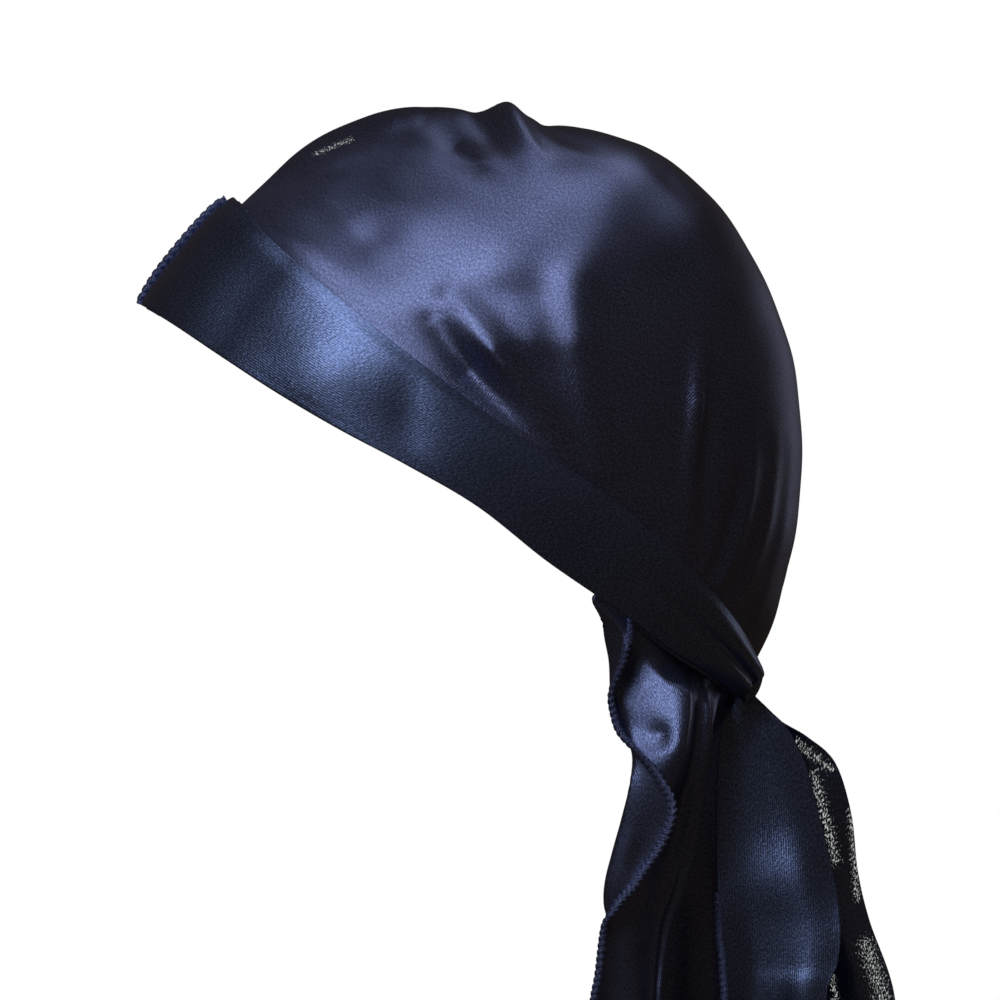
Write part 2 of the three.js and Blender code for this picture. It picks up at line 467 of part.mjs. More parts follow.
// Places across a half and down the tail where its facets meet, close together where it curls
const halfPlaces = [0, 0.09, 0.18, 0.26, 0.34, 0.47, 0.54, 0.61, 0.69, 0.79, 0.89, 0.95, 1];
const acrossPlaces = [...halfPlaces.map((x) => x / 2), ...halfPlaces.map((x) => 1 - x / 2).reverse().slice(1)];
const curlRows = 20;
const curlEnd = 0.6;
const plainRows = 7;
const downPlaces = [0, underTie];
for (let i = 1; i <= curlRows; i++) downPlaces.push(lerp(underTie, curlEnd, i / curlRows));
for (let i = 1; i <= plainRows; i++) downPlaces.push(lerp(curlEnd, 1, i / plainRows));
const tail = gridOf(acrossPlaces, downPlaces, tailPoint);
add("tail", wallSolid(tail, tailWall, -1), materials.tail);

// The tail's sewn edge: down the left side, along the hem and up the right side
const sewnEdgeShows = 0.17; // the share of the tail's rows that hides the top of its sewn edge
const edgeStart = downPlaces.findIndex((down) => down > sewnEdgeShows);
const tailEdge = borderStations(tail, borderPlaces(tail, edgeStart, edgeStart), tailWall, -1);
add("tail_edging", edging(tailEdge), materials.thread);

// The ends of the ties: rows down each from the knot. Front and back are the two edges, as shares of halfLoop behind the
// origin and of tieEndDrop below the knot; x0 to x4 are places across the width, as shares of halfWidth to the side.
const leftEndRows = [
  { front: [0.743, 0], back: [0.81, 0], x: [0.12, 0.13, 0.14, 0.13, 0.11] },
  { front: [0.728, 0.04], back: [0.868, 0.012], x: [0.15, 0.16, 0.18, 0.16, 0.12] },
  { front: [0.717, 0.09], back: [0.917, 0.037], x: [0.19, 0.17, 0.21, 0.2, 0.12] },
  { front: [0.713, 0.14], back: [0.97, 0.09], x: [0.24, 0.19, 0.24, 0.23, 0.13] },
  { front: [0.712, 0.2], back: [1.011, 0.172], x: [0.26, 0.21, 0.27, 0.25, 0.14] },
  { front: [0.714, 0.27], back: [1.044, 0.254], x: [0.27, 0.23, 0.29, 0.27, 0.15] },
  { front: [0.723, 0.334], back: [1.058, 0.333], x: [0.29, 0.27, 0.25, 0.29, 0.16] },
  { front: [0.733, 0.39], back: [1.045, 0.39], x: [0.31, 0.28, 0.18, 0.28, 0.17] },
  { front: [0.745, 0.44], back: [1.018, 0.44], x: [0.32, 0.28, 0.15, 0.27, 0.18] },
  { front: [0.745, 0.56], back: [1.03, 0.56], x: [0.31, 0.24, 0.17, 0.25, 0.17] },
  { front: [0.735, 0.7], back: [1.05, 0.7], x: [0.28, 0.2, 0.24, 0.2, 0.14] },
  { front: [0.73, 0.85], back: [1.055, 0.83], x: [0.26, 0.19, 0.25, 0.18, 0.15] },
  { front: [0.735, 1], back: [1.05, 0.93], x: [0.24, 0.2, 0.22, 0.19, 0.17] },
];
const rightEndRows = [
  { front: [0.743, 0], back: [0.81, 0], x: [0.12, 0.13, 0.14, 0.13, 0.11] },
  { front: [0.737, 0.05], back: [0.894, 0.029], x: [0.15, 0.15, 0.16, 0.15, 0.13] },
  { front: [0.743, 0.1], back: [0.982, 0.053], x: [0.17, 0.15, 0.19, 0.16, 0.14] },
  { front: [0.752, 0.146], back: [1.06, 0.09], x: [0.22, 0.17, 0.23, 0.16, 0.18] },
  { front: [0.761, 0.204], back: [1.106, 0.17], x: [0.24, 0.18, 0.25, 0.15, 0.2] },
  { front: [0.77, 0.272], back: [1.126, 0.262], x: [0.25, 0.19, 0.26, 0.16, 0.21] },
  { front: [0.788, 0.34], back: [1.16, 0.34], x: [0.26, 0.22, 0.26, 0.17, 0.22] },
  { front: [0.83, 0.447], back: [1.23, 0.451], x: [0.28, 0.26, 0.24, 0.19, 0.22] },
  { front: [0.825, 0.58], back: [1.245, 0.58], x: [0.29, 0.24, 0.2, 0.22, 0.2] },
  { front: [0.81, 0.72], back: [1.22, 0.72], x: [0.27, 0.2, 0.22, 0.23, 0.18] },
  { front: [0.8, 0.86], back: [1.2, 0.85], x: [0.25, 0.19, 0.24, 0.2, 0.18] },
  { front: [0.805, 0.94], back: [1.19, 1], x: [0.23, 0.2, 0.22, 0.19, 0.18] },
];
knot.computeBoundingBox();
const knotFoot = knot.boundingBox.min.z + knotSeat;
function tieEndPoint(rows, side, down, across) {
  const table = rows.map((row, n) => ({ n: n / (rows.length - 1), ...flatRow(row) }));
  const value = (column) => tableValue(table, "n", down, column);
  const curve = [0, 1, 2, 3, 4].map((k) => ({ across: k / 4, x: value("x" + k) }));
  return new THREE.Vector3(
    side * halfWidth * tableValue(curve, "across", across, "x"),
    halfLoop * lerp(value("frontBack"), value("backBack"), across),
    knotFoot - tieEndDrop * lerp(value("frontDrop"), value("backDrop"), across),
  );
}
function flatRow(row) {
  const [x0, x1, x2, x3, x4] = row.x;
  return { frontBack: row.front[0], frontDrop: row.front[1], backBack: row.back[0], backDrop: row.back[1], x0, x1, x2, x3, x4 };
}
const endAcross = evenly(8);
const endDown = evenly(16);
const endEdgeStart = 7; // the row below the knot from which the sewn front edge shows; the back edge is a fold
for (const [name, rows, side] of [["tie_end_left", leftEndRows, LEFT], ["tie_end_right", rightEndRows, RIGHT]]) {
  const grid = gridOf(endAcross, endDown, (across, down) => tieEndPoint(rows, side, down, across));
  add(name, wallSolid(grid, tieEndWall, -side), materials.tie);
  const places = borderPlaces(grid, endEdgeStart, endDown.length - 1);
  const edge = borderStations(grid, places, tieEndWall, -side);
  add(name + "_edging", edging(edge), materials.thread);
}

export default durag;
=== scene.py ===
import bpy
import numpy as np
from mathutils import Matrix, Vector


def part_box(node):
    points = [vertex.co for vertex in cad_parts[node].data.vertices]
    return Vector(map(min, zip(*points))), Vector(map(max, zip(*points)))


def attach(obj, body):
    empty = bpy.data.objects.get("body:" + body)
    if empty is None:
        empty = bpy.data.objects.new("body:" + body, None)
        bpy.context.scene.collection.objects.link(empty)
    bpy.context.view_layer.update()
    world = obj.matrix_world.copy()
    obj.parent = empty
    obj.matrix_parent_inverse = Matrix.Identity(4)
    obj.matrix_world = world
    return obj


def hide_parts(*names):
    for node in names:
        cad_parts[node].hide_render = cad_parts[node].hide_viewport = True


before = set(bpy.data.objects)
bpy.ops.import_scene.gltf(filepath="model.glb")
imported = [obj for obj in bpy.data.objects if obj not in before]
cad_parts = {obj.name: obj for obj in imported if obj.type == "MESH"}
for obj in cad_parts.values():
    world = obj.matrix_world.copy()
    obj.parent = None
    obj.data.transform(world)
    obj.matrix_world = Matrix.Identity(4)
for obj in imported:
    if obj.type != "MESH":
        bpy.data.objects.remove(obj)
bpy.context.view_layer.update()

# A satin durag in its worn form. Its brow faces -Y, its left side is +X. Lengths below are in millimetres,
# and angles go round the loop of the ties: 0 at the brow, 90 at the side, 180 at the nape.
MM = 0.001

head_width = 160.0
loop_length = 226.0
crown_height = 115.0
loop_tilt = np.radians(36.2)
front_inset = 4.5
tie_width = 38.0
tail_length = 270.0
tie_end_length = 206.0
half_loop = loop_length / 2
half_width = head_width / 2
tie_seat = 0.8
tie_wall = 1.4
tie_roll = 3.4
cloth = 0.7


def table(names, rows):
    """Named columns from rows of numbers."""
    return dict(zip(names.split(), np.array(rows, float).T))


def through(xs, ys, at):
    """A cubic through the points (xs, ys): at each point its slope is that of the line between its two
    neighbours. ys may hold a whole field for each x, of the same shape as at."""
    xs, ys, at = np.asarray(xs, float), np.asarray(ys, float), np.asarray(at, float)
    i = np.clip(np.searchsorted(xs, at, side="left") - 1, 0, len(xs) - 2)
    before, after = np.maximum(i - 1, 0), np.minimum(i + 2, len(xs) - 1)
    if ys.ndim == 1:
        pick = lambda k: ys[k]
    else:
        pick = lambda k: np.take_along_axis(ys, k[None], 0)[0]
    span = xs[i + 1] - xs[i]
    t = np.clip((at - xs[i]) / span, 0, 1)
    slope_a = (pick(i + 1) - pick(before)) / (xs[i + 1] - xs[before]) * span
    slope_b = (pick(after) - pick(i)) / (xs[after] - xs[i]) * span
    return (
        (2 * t**3 - 3 * t**2 + 1) * pick(i)
        + (t**3 - 2 * t**2 + t) * slope_a
        + (3 * t**2 - 2 * t**3) * pick(i + 1)
        + (t**3 - t**2) * slope_b
    )


def ease(at, low, high):
    """0 below low, 1 above high, and 3t^2 - 2t^3 between."""
    t = np.clip((at - low) / (high - low), 0, 1)
    return t * t * (3 - 2 * t)


def mix(a, b, t):
    """The straight line from a to b."""
    return a + (b - a) * t


def waves(seed, count, low, high):
    """Fixed random waves: their directions, frequencies between low and high, phases and heights of mean
    1."""
    rng = np.random.default_rng(seed)
    turn, size = rng.uniform(0, np.pi, count), rng.uniform(low, high, count)
    phase, height = rng.uniform(0, 2 * np.pi, count), rng.uniform(0.5, 1.5, count)
    return np.cos(turn) * size, np.sin(turn) * size, phase, height


def ripple(a, b, seed, low, high, stretch=1.0, count=14):
    """A soft unevenness of mean 0 and height about 1 over the fields a and b: the sum of count sines in
    random directions, with the second direction drawn out by stretch."""
    total = 0
    for fa, fb, phase, height in zip(*waves(seed, count, low, high)):
        total = total + height * np.sin(2 * np.pi * (fa * a + fb * b / stretch) + phase)
    return total / np.sqrt(count)


# The loop of the ties and the cap's outline over it
loop = table(
    "angle height width top bottom roll",
    [
        (0, 0.55, 1.2, 0.66, -0.52, 0),
        (12, 0.55, 1.18, 0.66, -0.52, 0),
        (20, 0.72, 1.17, 0.65, -0.51, 0),
        (26, 0.96, 1.16, 0.63, -0.5, 0),
        (36, 1.04, 1.12, 0.56, -0.48, 0),
        (48, 1.005, 1.075, 0.51, -0.46, 0),
        (60, 0.975, 1.04, 0.48, -0.43, 0),
        (72, 0.985, 1.02, 0.45, -0.37, 0),
        (84, 1.018, 1, 0.44, -0.28, 0),
        (96, 1.013, 1, 0.44, -0.215, 0),
        (110, 0.99, 1, 0.48, -0.24, 0),
        (126, 0.95, 0.99, 0.44, -0.22, 0.1),
        (140, 0.885, 0.965, 0.36, -0.23, 0.35),
        (152, 0.795, 0.95, 0.27, -0.21, 0.7),
        (164, 0.69, 0.95, 0.18, -0.22, 0.95),
        (180, 0.62, 0.96, 0.1, -0.24, 1),
    ],
)


def round_loop(angle, column):
    """A column of the loop's table at an angle on either side."""
    return through(loop["angle"], loop[column], np.abs(angle))


def place(along, across, up):
    """From the tilted frame of the ties to the row frame: along points to the nape, across to the left, up
    over the crown. y = along cos + up sin and z = up cos - along sin of the tilt."""
    c, s = np.cos(loop_tilt), np.sin(loop_tilt)
    along, across, up = np.broadcast_arrays(along, across, up)
    return np.stack([across, along * c + up * s, up * c - along * s], -1)


def outline(angle):
    """The cap's outline in the plane of the ties: an ellipse of half_loop by half_width times its width,
    flatter at the brow."""
    flat = front_inset * (1 - ease(np.abs(angle), 3, 28))
    along = -half_loop * np.cos(np.radians(angle)) + flat
    return along, half_width * np.sin(np.radians(angle)) * round_loop(angle, "width")


def tie_top(angle):
    return tie_width * round_loop(angle, "top")


def tie_bottom(angle):
    return tie_width * round_loop(angle, "bottom")


# Folds of the cap, seen from the side: each runs through three points, x as a share of loop_length and y of
# crown_height. rise is a share of fold_depth at each point, and wide a share of crown_height at its two
# ends. side: 1 left, -1 right, 0 both.
fold_depth = 4.0
folds = table(
    "side x0 y0 x1 y1 x2 y2 rise0 rise1 rise2 wide0 wide2",
    [
        (1, -0.141, 0.337, -0.053, 0.291, 0.082, 0.223, 0.40, 0.93, 0.15, 0.052, 0.035),
        (1, -0.143, 0.261, -0.066, 0.213, 0.066, 0.159, -0.30, -0.88, -0.15, 0.042, 0.030),
        (1, -0.087, 0.290, -0.030, 0.265, 0.031, 0.235, 0.07, 0.23, 0.05, 0.014, 0.012),
        (1, -0.058, 0.331, -0.020, 0.372, 0.021, 0.425, 0.07, 0.25, 0.20, 0.057, 0.057),
        (1, -0.019, 0.555, 0.036, 0.438, 0.158, 0.200, 0.28, 0.38, 0.15, 0.065, 0.043),
        (1, -0.045, 0.964, -0.036, 0.764, -0.019, 0.555, 0.03, 0.10, 0.20, 0.078, 0.065),
        (1, -0.161, 0.336, -0.087, 0.430, -0.019, 0.542, -0.10, -0.21, -0.10, 0.052, 0.052),
        (1, 0.161, 0.655, 0.214, 0.487, 0.308, 0.184, 0.10, 0.65, 0.07, 0.026, 0.022),
        (1, 0.207, 0.571, 0.262, 0.417, 0.343, 0.166, -0.05, -0.20, -0.10, 0.023, 0.017),
        (1, 0.290, 0.560, 0.359, 0.339, 0.387, 0.115, 0.05, 0.25, 0.18, 0.019, 0.012),
        (1, 0.285, 0.518, 0.343, 0.318, 0.366, 0.133, -0.03, -0.18, -0.12, 0.021, 0.014),
        (1, 0.324, 0.577, 0.389, 0.366, 0.424, 0.133, 0.05, 0.20, 0.12, 0.019, 0.013),
        (1, 0.351, 0.583, 0.416, 0.370, 0.461, 0.123, 0.05, 0.15, 0.10, 0.019, 0.013),
        (0, -0.269, 0.877, -0.226, 0.846, -0.166, 0.809, 1.65, 0.80, 0.15, 0.038, 0.024),
        (0, -0.278, 0.800, -0.240, 0.782, -0.189, 0.751, -0.23, -0.25, -0.07, 0.028, 0.030),
        (1, -0.285, 0.763, -0.240, 0.736, -0.188, 0.702, 0.03, 0.05, 0.03, 0.024, 0.024),
        (0, -0.327, 0.718, -0.281, 0.706, -0.233, 0.680, -0.12, -0.32, -0.08, 0.035, 0.031),
        (0, -0.193, 0.903, -0.157, 0.902, -0.103, 0.913, -0.38, -0.33, -0.05, 0.023, 0.026),
        (0, -0.179, 0.937, -0.134, 0.967, -0.077, 0.979, 0.15, 0.18, 0.03, 0.021, 0.021),
        (0, -0.040, 0.991, -0.002, 0.969, 0.042, 0.952, -0.07, -0.12, -0.05, 0.030, 0.026),
        (0, -0.386, 0.614, -0.367, 0.656, -0.343, 0.696, 0.08, 0.20, 0.08, 0.016, 0.016),
        (0, -0.423, 0.387, -0.403, 0.481, -0.372, 0.563, 0.05, 0.15, 0.05, 0.019, 0.019),
        (0, -0.447, 0.273, -0.434, 0.367, -0.390, 0.466, -0.05, -0.15, -0.05, 0.021, 0.021),
        (1, -0.305, 0.224, -0.298, 0.322, -0.273, 0.433, -0.05, -0.18, -0.05, 0.061, 0.052),
        (-1, -0.200, 0.205, -0.050, 0.220, 0.130, 0.175, 0.15, 0.50, 0.25, 0.032, 0.014),
        (-1, -0.120, 0.285, -0.030, 0.262, 0.120, 0.200, -0.30, -0.65, -0.15, 0.026, 0.016),
        (-1, -0.030, 0.330, 0.060, 0.290, 0.175, 0.200, -0.15, -0.45, -0.15, 0.056, 0.022),
        (-1, -0.020, 0.480, 0.080, 0.360, 0.185, 0.195, 0.22, 0.45, 0.20, 0.045, 0.018),
        (-1, 0.130, 0.600, 0.200, 0.430, 0.290, 0.175, 0.05, 0.28, 0.10, 0.030, 0.020),
        (-1, 0.230, 0.560, 0.300, 0.380, 0.350, 0.150, 0.05, -0.25, -0.12, 0.026, 0.016),
        (-1, 0.300, 0.600, 0.370, 0.380, 0.410, 0.130, 0.05, 0.22, 0.14, 0.022, 0.014),
    ],
)
side_fade = 12.0
front_draw = 4.5
seam_pull, seam_pull_width = 0.35, 3.2
fold_steps = 16


def fold_lift(along, up, side, across):
    """How far the folds lift the cloth. Each is a curve through its three points, p(t) = (1 - t)(1 - 2t) p0
    + 4t(1 - t) p1 + t(2t - 1) p2, taken in short straight steps. Its lift is its rise at the nearest t
    times exp(-(d / width)^2), d being the distance from it. A fold of one side dies out towards the middle
    seam."""
    t = np.linspace(0, 1, fold_steps + 1)[:, None]
    size = np.array([loop_length, crown_height])
    here = np.stack(np.broadcast_arrays(along, up), -1)[..., None, :]
    lift = np.zeros(here.shape[:-2])
    for k in range(len(folds["side"])):
        if folds["side"][k] == -side:
            continue
        p = [np.array([folds[f"x{n}"][k], folds[f"y{n}"][k]]) * size for n in range(3)]
        line = (1 - t) * (1 - 2 * t) * p[0] + 4 * t * (1 - t) * p[1] + t * (2 * t - 1) * p[2]
        start, run = line[:-1], np.diff(line, axis=0)
        ahead = np.clip(np.sum((here - start) * run, -1) / np.sum(run**2, -1), 0, 1)
        apart = np.linalg.norm(here - start - ahead[..., None] * run, axis=-1)
        nearest = np.argmin(apart, -1)[..., None]
        apart = np.take_along_axis(apart, nearest, -1)[..., 0]
        at = (nearest[..., 0] + np.take_along_axis(ahead, nearest, -1)[..., 0]) / fold_steps
        rise = np.interp(at, [0, 0.5, 1], [folds[f"rise{n}"][k] for n in range(3)]) * fold_depth
        width = mix(folds["wide0"][k], folds["wide2"][k], at) * crown_height
        fade = 1.0 if folds["side"][k] == 0 else ease(np.abs(across), 0, side_fade)
        lift = lift + fade * rise * np.exp(-((apart / width) ** 2))
    return lift


def cap_surface(angle, arch, side):
    """The cap's outer face: at each angle round the loop, an arch over the crown whose point at arch
    degrees is (width cos arch, height sin arch), pushed out along the outline's normal by the folds; below
    the ties' plane it hangs down."""
    along, across = outline(angle)
    height = crown_height * np.sin(np.radians(angle)) * round_loop(angle, "height")
    lift = np.radians(arch)
    up = np.where(lift > 0, height * np.sin(lift), height * lift)
    out = np.where(lift > 0, across * np.cos(lift), across)
    along = along + 0 * up
    free = ease(up, tie_top(angle) - 0.5, tie_top(angle) + 3)
    normal = np.stack([along / half_loop**2, out / half_width**2, np.maximum(up, 0) / crown_height**2], -1)
    normal /= np.linalg.norm(normal, axis=-1, keepdims=True)
    fine = 0.22 * ripple(along / 9, up / 9, 7 + int(side), 0.15, 0.5)
    push = free * (fold_lift(along, up, side, out) + fine)
    # it is drawn in above the brow, and dips beside the middle seam, where its thread pulls
    above = ease(up, tie_top(angle), tie_top(angle) + 22)
    push = push - front_draw * ease(-along, 5, 85) * above * ease(out, 8, 34)
    push = push - seam_pull * np.exp(-((out / seam_pull_width) ** 2))
    along, out, up = along + push * normal[..., 0], out + push * normal[..., 1], up + push * normal[..., 2]
    return place(along, side * out, up)


def normals_of(grid):
    """Unit normals of a grid of points: the cross product of its two directions by central differences."""
    du = np.gradient(grid, axis=0)
    dv = np.gradient(grid, axis=1)
    n = np.cross(du, dv)
    return n / np.maximum(np.linalg.norm(n, axis=-1, keepdims=True), 1e-12)


def lengths_along(grid, axis):
    """Distance run along one axis of a grid, in mm."""
    step = np.linalg.norm(np.diff(grid, axis=axis), axis=-1)
    pad = [(1, 0) if k == axis else (0, 0) for k in range(2)]
    return np.pad(np.cumsum(step, axis=axis), pad)


def make_mesh(name, points, faces, uv):
    """An object at the origin from points in mm, arrays of faces and a place on the cloth for each
    point."""
    mesh = bpy.data.meshes.new(name)
    mesh.from_pydata((points * MM).tolist(), [], [corners for part in faces for corners in part.tolist()])
    layer = mesh.uv_layers.new(name="cloth")
    corner = np.empty(len(mesh.loops), np.int32)
    mesh.loops.foreach_get("vertex_index", corner)
    layer.data.foreach_set("uv", (uv[corner] * MM).astype(np.float32).ravel())
    mesh.shade_smooth()
    mesh.validate()
    piece = bpy.data.objects.new(name, mesh)
    bpy.context.collection.objects.link(piece)
    return piece


def cloth_piece(name, grid, wall, outward=1, uv=None):
    """A closed piece of cloth: the grid is its outer face, the inner face lies wall behind it along the
    normals, and rims join the two. Places on the cloth are the distances run along the grid's two
    directions."""
    nu, nv = grid.shape[:2]
    inner = grid - outward * np.asarray(wall)[..., None] * normals_of(grid)
    if uv is None:
        uv = np.stack([lengths_along(grid, 0), lengths_along(grid, 1)], -1)
    index = np.arange(nu * nv).reshape(nu, nv)
    back = index + nu * nv

    def quads(a, b, c, d):
        return np.stack([a, b, c, d], -1).reshape(-1, 4)

    faces = np.concatenate(
        [
            quads(index[:-1, :-1], index[1:, :-1], index[1:, 1:], index[:-1, 1:]),
            quads(back[:-1, :-1], back[:-1, 1:], back[1:, 1:], back[1:, :-1]),
            quads(index[:-1, 0], back[:-1, 0], back[1:, 0], index[1:, 0]),
            quads(index[:-1, -1], index[1:, -1], back[1:, -1], back[:-1, -1]),
            quads(index[0, :-1], index[0, 1:], back[0, 1:], back[0, :-1]),
            quads(index[-1, :-1], back[-1, :-1], back[-1, 1:], index[-1, 1:]),
        ]
    )
    if outward < 0:
        faces = faces[:, ::-1]
    points = np.concatenate([grid.reshape(-1, 3), inner.reshape(-1, 3)])
    return make_mesh(name, points, [faces], np.concatenate([uv.reshape(-1, 2)] * 2))


def resample(line, step):
    """Points a step apart along each line of points given as columns of an array of shape (n, 3 or
    more)."""
    run = np.concatenate([[0], np.cumsum(np.linalg.norm(np.diff(line[:, :3], axis=0), axis=1))])
    at = np.linspace(0, run[-1], max(int(run[-1] / step), 2))
    return np.stack([np.interp(at, run, line[:, k]) for k in range(line.shape[1])], -1), at


def unit(v):
    return v / np.maximum(np.linalg.norm(v, axis=-1, keepdims=True), 1e-12)


stitch_pitch = 2.1
edge_half_width = 1.3
edge_half_height = 0.95
thread_wrap = 1.5
loop_slant = 2.2
sewn_edge = {"gap": -1.5, "scale": 1.2}


def overlocked_edge(name, at, out, up, gap=0.0, around=20, pitch=stitch_pitch, scale=1.0):
    """The thread that is looped round a cut edge. Round the edge's line goes a flattened tube, whose radius
    swells with each slanting loop by |cos(half of the angle round it and of the way along over the pitch)|
    and has a small bead on its outer side, one to a loop."""
    line, run = resample(np.concatenate([at, out, up], 1), pitch / 10)
    centre, ahead = line[:, :3], unit(np.gradient(line[:, :3], axis=0))
    side = unit(line[:, 3:6] - ahead * np.sum(line[:, 3:6] * ahead, 1, keepdims=True))
    top = unit(np.cross(ahead, side))
    top = top * np.sign(np.sum(top * line[:, 6:9], 1, keepdims=True))
    a = np.linspace(0, 2 * np.pi, around, endpoint=False)[None]
    drift = 0.5 * np.sin(run[:, None] / 7.7) + 0.35 * np.sin(run[:, None] / 3.1 + 2)
    turn = 2 * np.pi * run[:, None] / pitch + drift
    slanted = turn + loop_slant * np.sin(a)
    loops = np.abs(np.cos(slanted / 2)) ** 0.8
    strands = 0.05 * np.cos(3 * slanted + 2 * a)
    beads = np.maximum(np.cos(a), 0) ** 4 * (0.5 + 0.5 * np.cos(turn + 0.8)) ** 2
    bulge = scale * (0.72 + 0.3 * loops + 0.2 * beads + strands)
    wobble = 0.16 * np.sin(run[:, None] / 5.3) + 0.12 * np.sin(run[:, None] / 2.1 + 1)
    sideways = gap + edge_half_width * scale + wobble + edge_half_width * np.cos(a) * bulge
    upwards = edge_half_height * np.sin(a) * bulge
    points = centre[:, None] + side[:, None] * sideways[..., None] + top[:, None] * upwards[..., None]
    n = len(centre)
    index = np.arange(n * around).reshape(n, around)
    ring = np.roll(index, -1, axis=1)
    faces = np.stack([index[:-1], ring[:-1], ring[1:], index[1:]], -1).reshape(-1, 4)
    ends = np.array([n * around, n * around + 1])
    middles = centre[[0, -1]] + side[[0, -1]] * (gap + edge_half_width * scale)
    points = np.concatenate([points.reshape(-1, 3), middles])
    caps = [
        np.stack([ring[0], index[0], np.full(around, ends[0])], -1),
        np.stack([index[-1], ring[-1], np.full(around, ends[1])], -1),
    ]
    wrap = np.stack(np.broadcast_arrays(a * thread_wrap, run[:, None]), -1).reshape(-1, 2)
    wrap = np.concatenate([wrap, [[0, 0], [0, run[-1]]]])
    parts = [faces, *caps]
    if np.sum(np.cross(side, top) * ahead) > 0:
        parts = [part[:, ::-1] for part in parts]
    return make_mesh(name, points, parts, wrap)


def border(grid, wall, outward, start, stop):
    """The line round a piece's cut edge: down its first column from a row, along its last row and up its
    last column to a row, with the way out of the cloth in its plane and the way up from it."""
    n = normals_of(grid) * outward
    du, dv = unit(np.gradient(grid, axis=0)), unit(np.gradient(grid, axis=1))
    mid = grid - n * wall / 2
    corner = 3
    last = grid.shape[1] - corner
    down, along, back = slice(start, last), slice(corner, -corner), slice(min(stop, last), last)
    at = [mid[0, down], mid[along, -1], mid[-1, back][::-1]]
    out = [-du[0, down], dv[along, -1], du[-1, back][::-1]]
    up = [n[0, down], n[along, -1], n[-1, back][::-1]]
    return np.concatenate(at), np.concatenate(out), np.concatenate(up)


# The cap
hem_inset = 3.0
tail_angle = 120.0
tail_seam_up = 0.8
cap_from, cap_to = 6.0, 178.3
seam_from, seam_to, seam_points = 17.8, 175.5, 420
seam_half_gap = 0.05

def cap_grid(side, columns, rows):
    """Angles round the loop by arches over the crown, from the hem to the middle seam."""
    angle = np.linspace(cap_from, cap_to, columns)[:, None]
    height = crown_height * np.sin(np.radians(angle)) * round_loop(angle, "height")
    over_tail = ease(angle, tail_angle - 10, tail_angle - 5.5)
    hem = mix(tie_bottom(angle) + hem_inset, tail_seam_up + 0.35, over_tail)
    low = np.degrees(np.where(hem < 0, hem / height, np.arcsin(np.clip(hem / height, -1, 0.5))))
    _, across = outline(angle)
    high = 90 - np.degrees(np.arcsin(np.clip(seam_half_gap / np.maximum(across, 0.2), 0, 1)))
    t = np.linspace(0, 1, rows)[None]
    return cap_surface(angle, mix(low, high, t**1.12), side)


def cap_weave(grid):
    """Places on the cap's cloth: round the loop, as half_loop times the angle, and up over the crown along
    each arch."""
    round_it = half_loop * np.radians(np.linspace(cap_from, cap_to, len(grid)))[:, None]
    up_it = lengths_along(grid, 1)
    return np.stack([round_it + 0 * up_it, up_it], -1)


left_shape, right_shape = cap_grid(1, 304, 150), cap_grid(-1, 304, 150)
left_cap = cloth_piece("cap_left", left_shape, cloth, 1, cap_weave(left_shape))
right_cap = cloth_piece("cap_right", right_shape, cloth, -1, cap_weave(right_shape))

# The middle seam: a row of overlocked thread laid flat on the joint
seam_angle = np.linspace(seam_from, seam_to, seam_points)
seam_line = cap_surface(seam_angle, np.full(seam_points, 90.0), 1)
seam_ahead = unit(np.gradient(seam_line, axis=0))
seam_out = np.cross(np.array([[1.0, 0, 0]]), seam_ahead)
seam_base = seam_line + seam_out * -0.35 - np.array([[edge_half_width * 0.9, 0, 0]])
seam_left = np.broadcast_to([1.0, 0, 0], seam_base.shape)
middle_seam = overlocked_edge("middle_seam", seam_base, seam_left, seam_out, pitch=2.2, scale=0.75)

# The ties wrapped round the brow
tie_end_angle = 171.0
overlap_angle = 26.0
crossing = {"bottom": 1.5, "top": 7.0}
bulge_front, bulge_side, bulge_end = 1.4, 0.8, 60.0
tie_cloth = 1.1
lean_in = 0.7
swell_at, dip_at = 126.0, 156.0


def tie_surface(angle, v, lift, side):
    """A tie's outer face: v runs from its lower to its upper edge; it follows the cap's outline drawn in by
    sqrt(1 - (up / crown_height)^2), and stands off it by the seat, its lift and a bulge of sqrt(sin(pi v)).
    Its upper edge leans in to the cap, and its corners at the brow are rounded off."""
    corner = 1 - ease(np.abs(angle), 4, 15)
    up = mix(tie_bottom(angle) + 0.8 * corner, tie_top(angle) - 2.0 * corner, v)
    narrow = np.where(up > 0, np.sqrt(1 - (up / crown_height) ** 2), 1.0)
    along, across = outline(angle)
    out = unit(np.stack([along / half_loop**2, across / half_width**2], -1))
    belly = np.sqrt(np.clip(np.sin(np.pi * v), 0, 1))
    bulge = mix(bulge_front, bulge_side, ease(np.abs(angle), 0, bulge_end)) * belly
    run = np.sign(angle) * half_loop * np.radians(np.abs(angle))
    slack = 0.28 * ripple(run / 22, up / 22, 31 + int(side), 0.2, 0.8) * belly
    rise = tie_seat + lift + bulge + slack + tie_creases(angle, run, v) - lean_in * ease(v, 0.86, 1)
    return place(along * narrow + rise * out[..., 0], across * narrow + rise * out[..., 1], up)


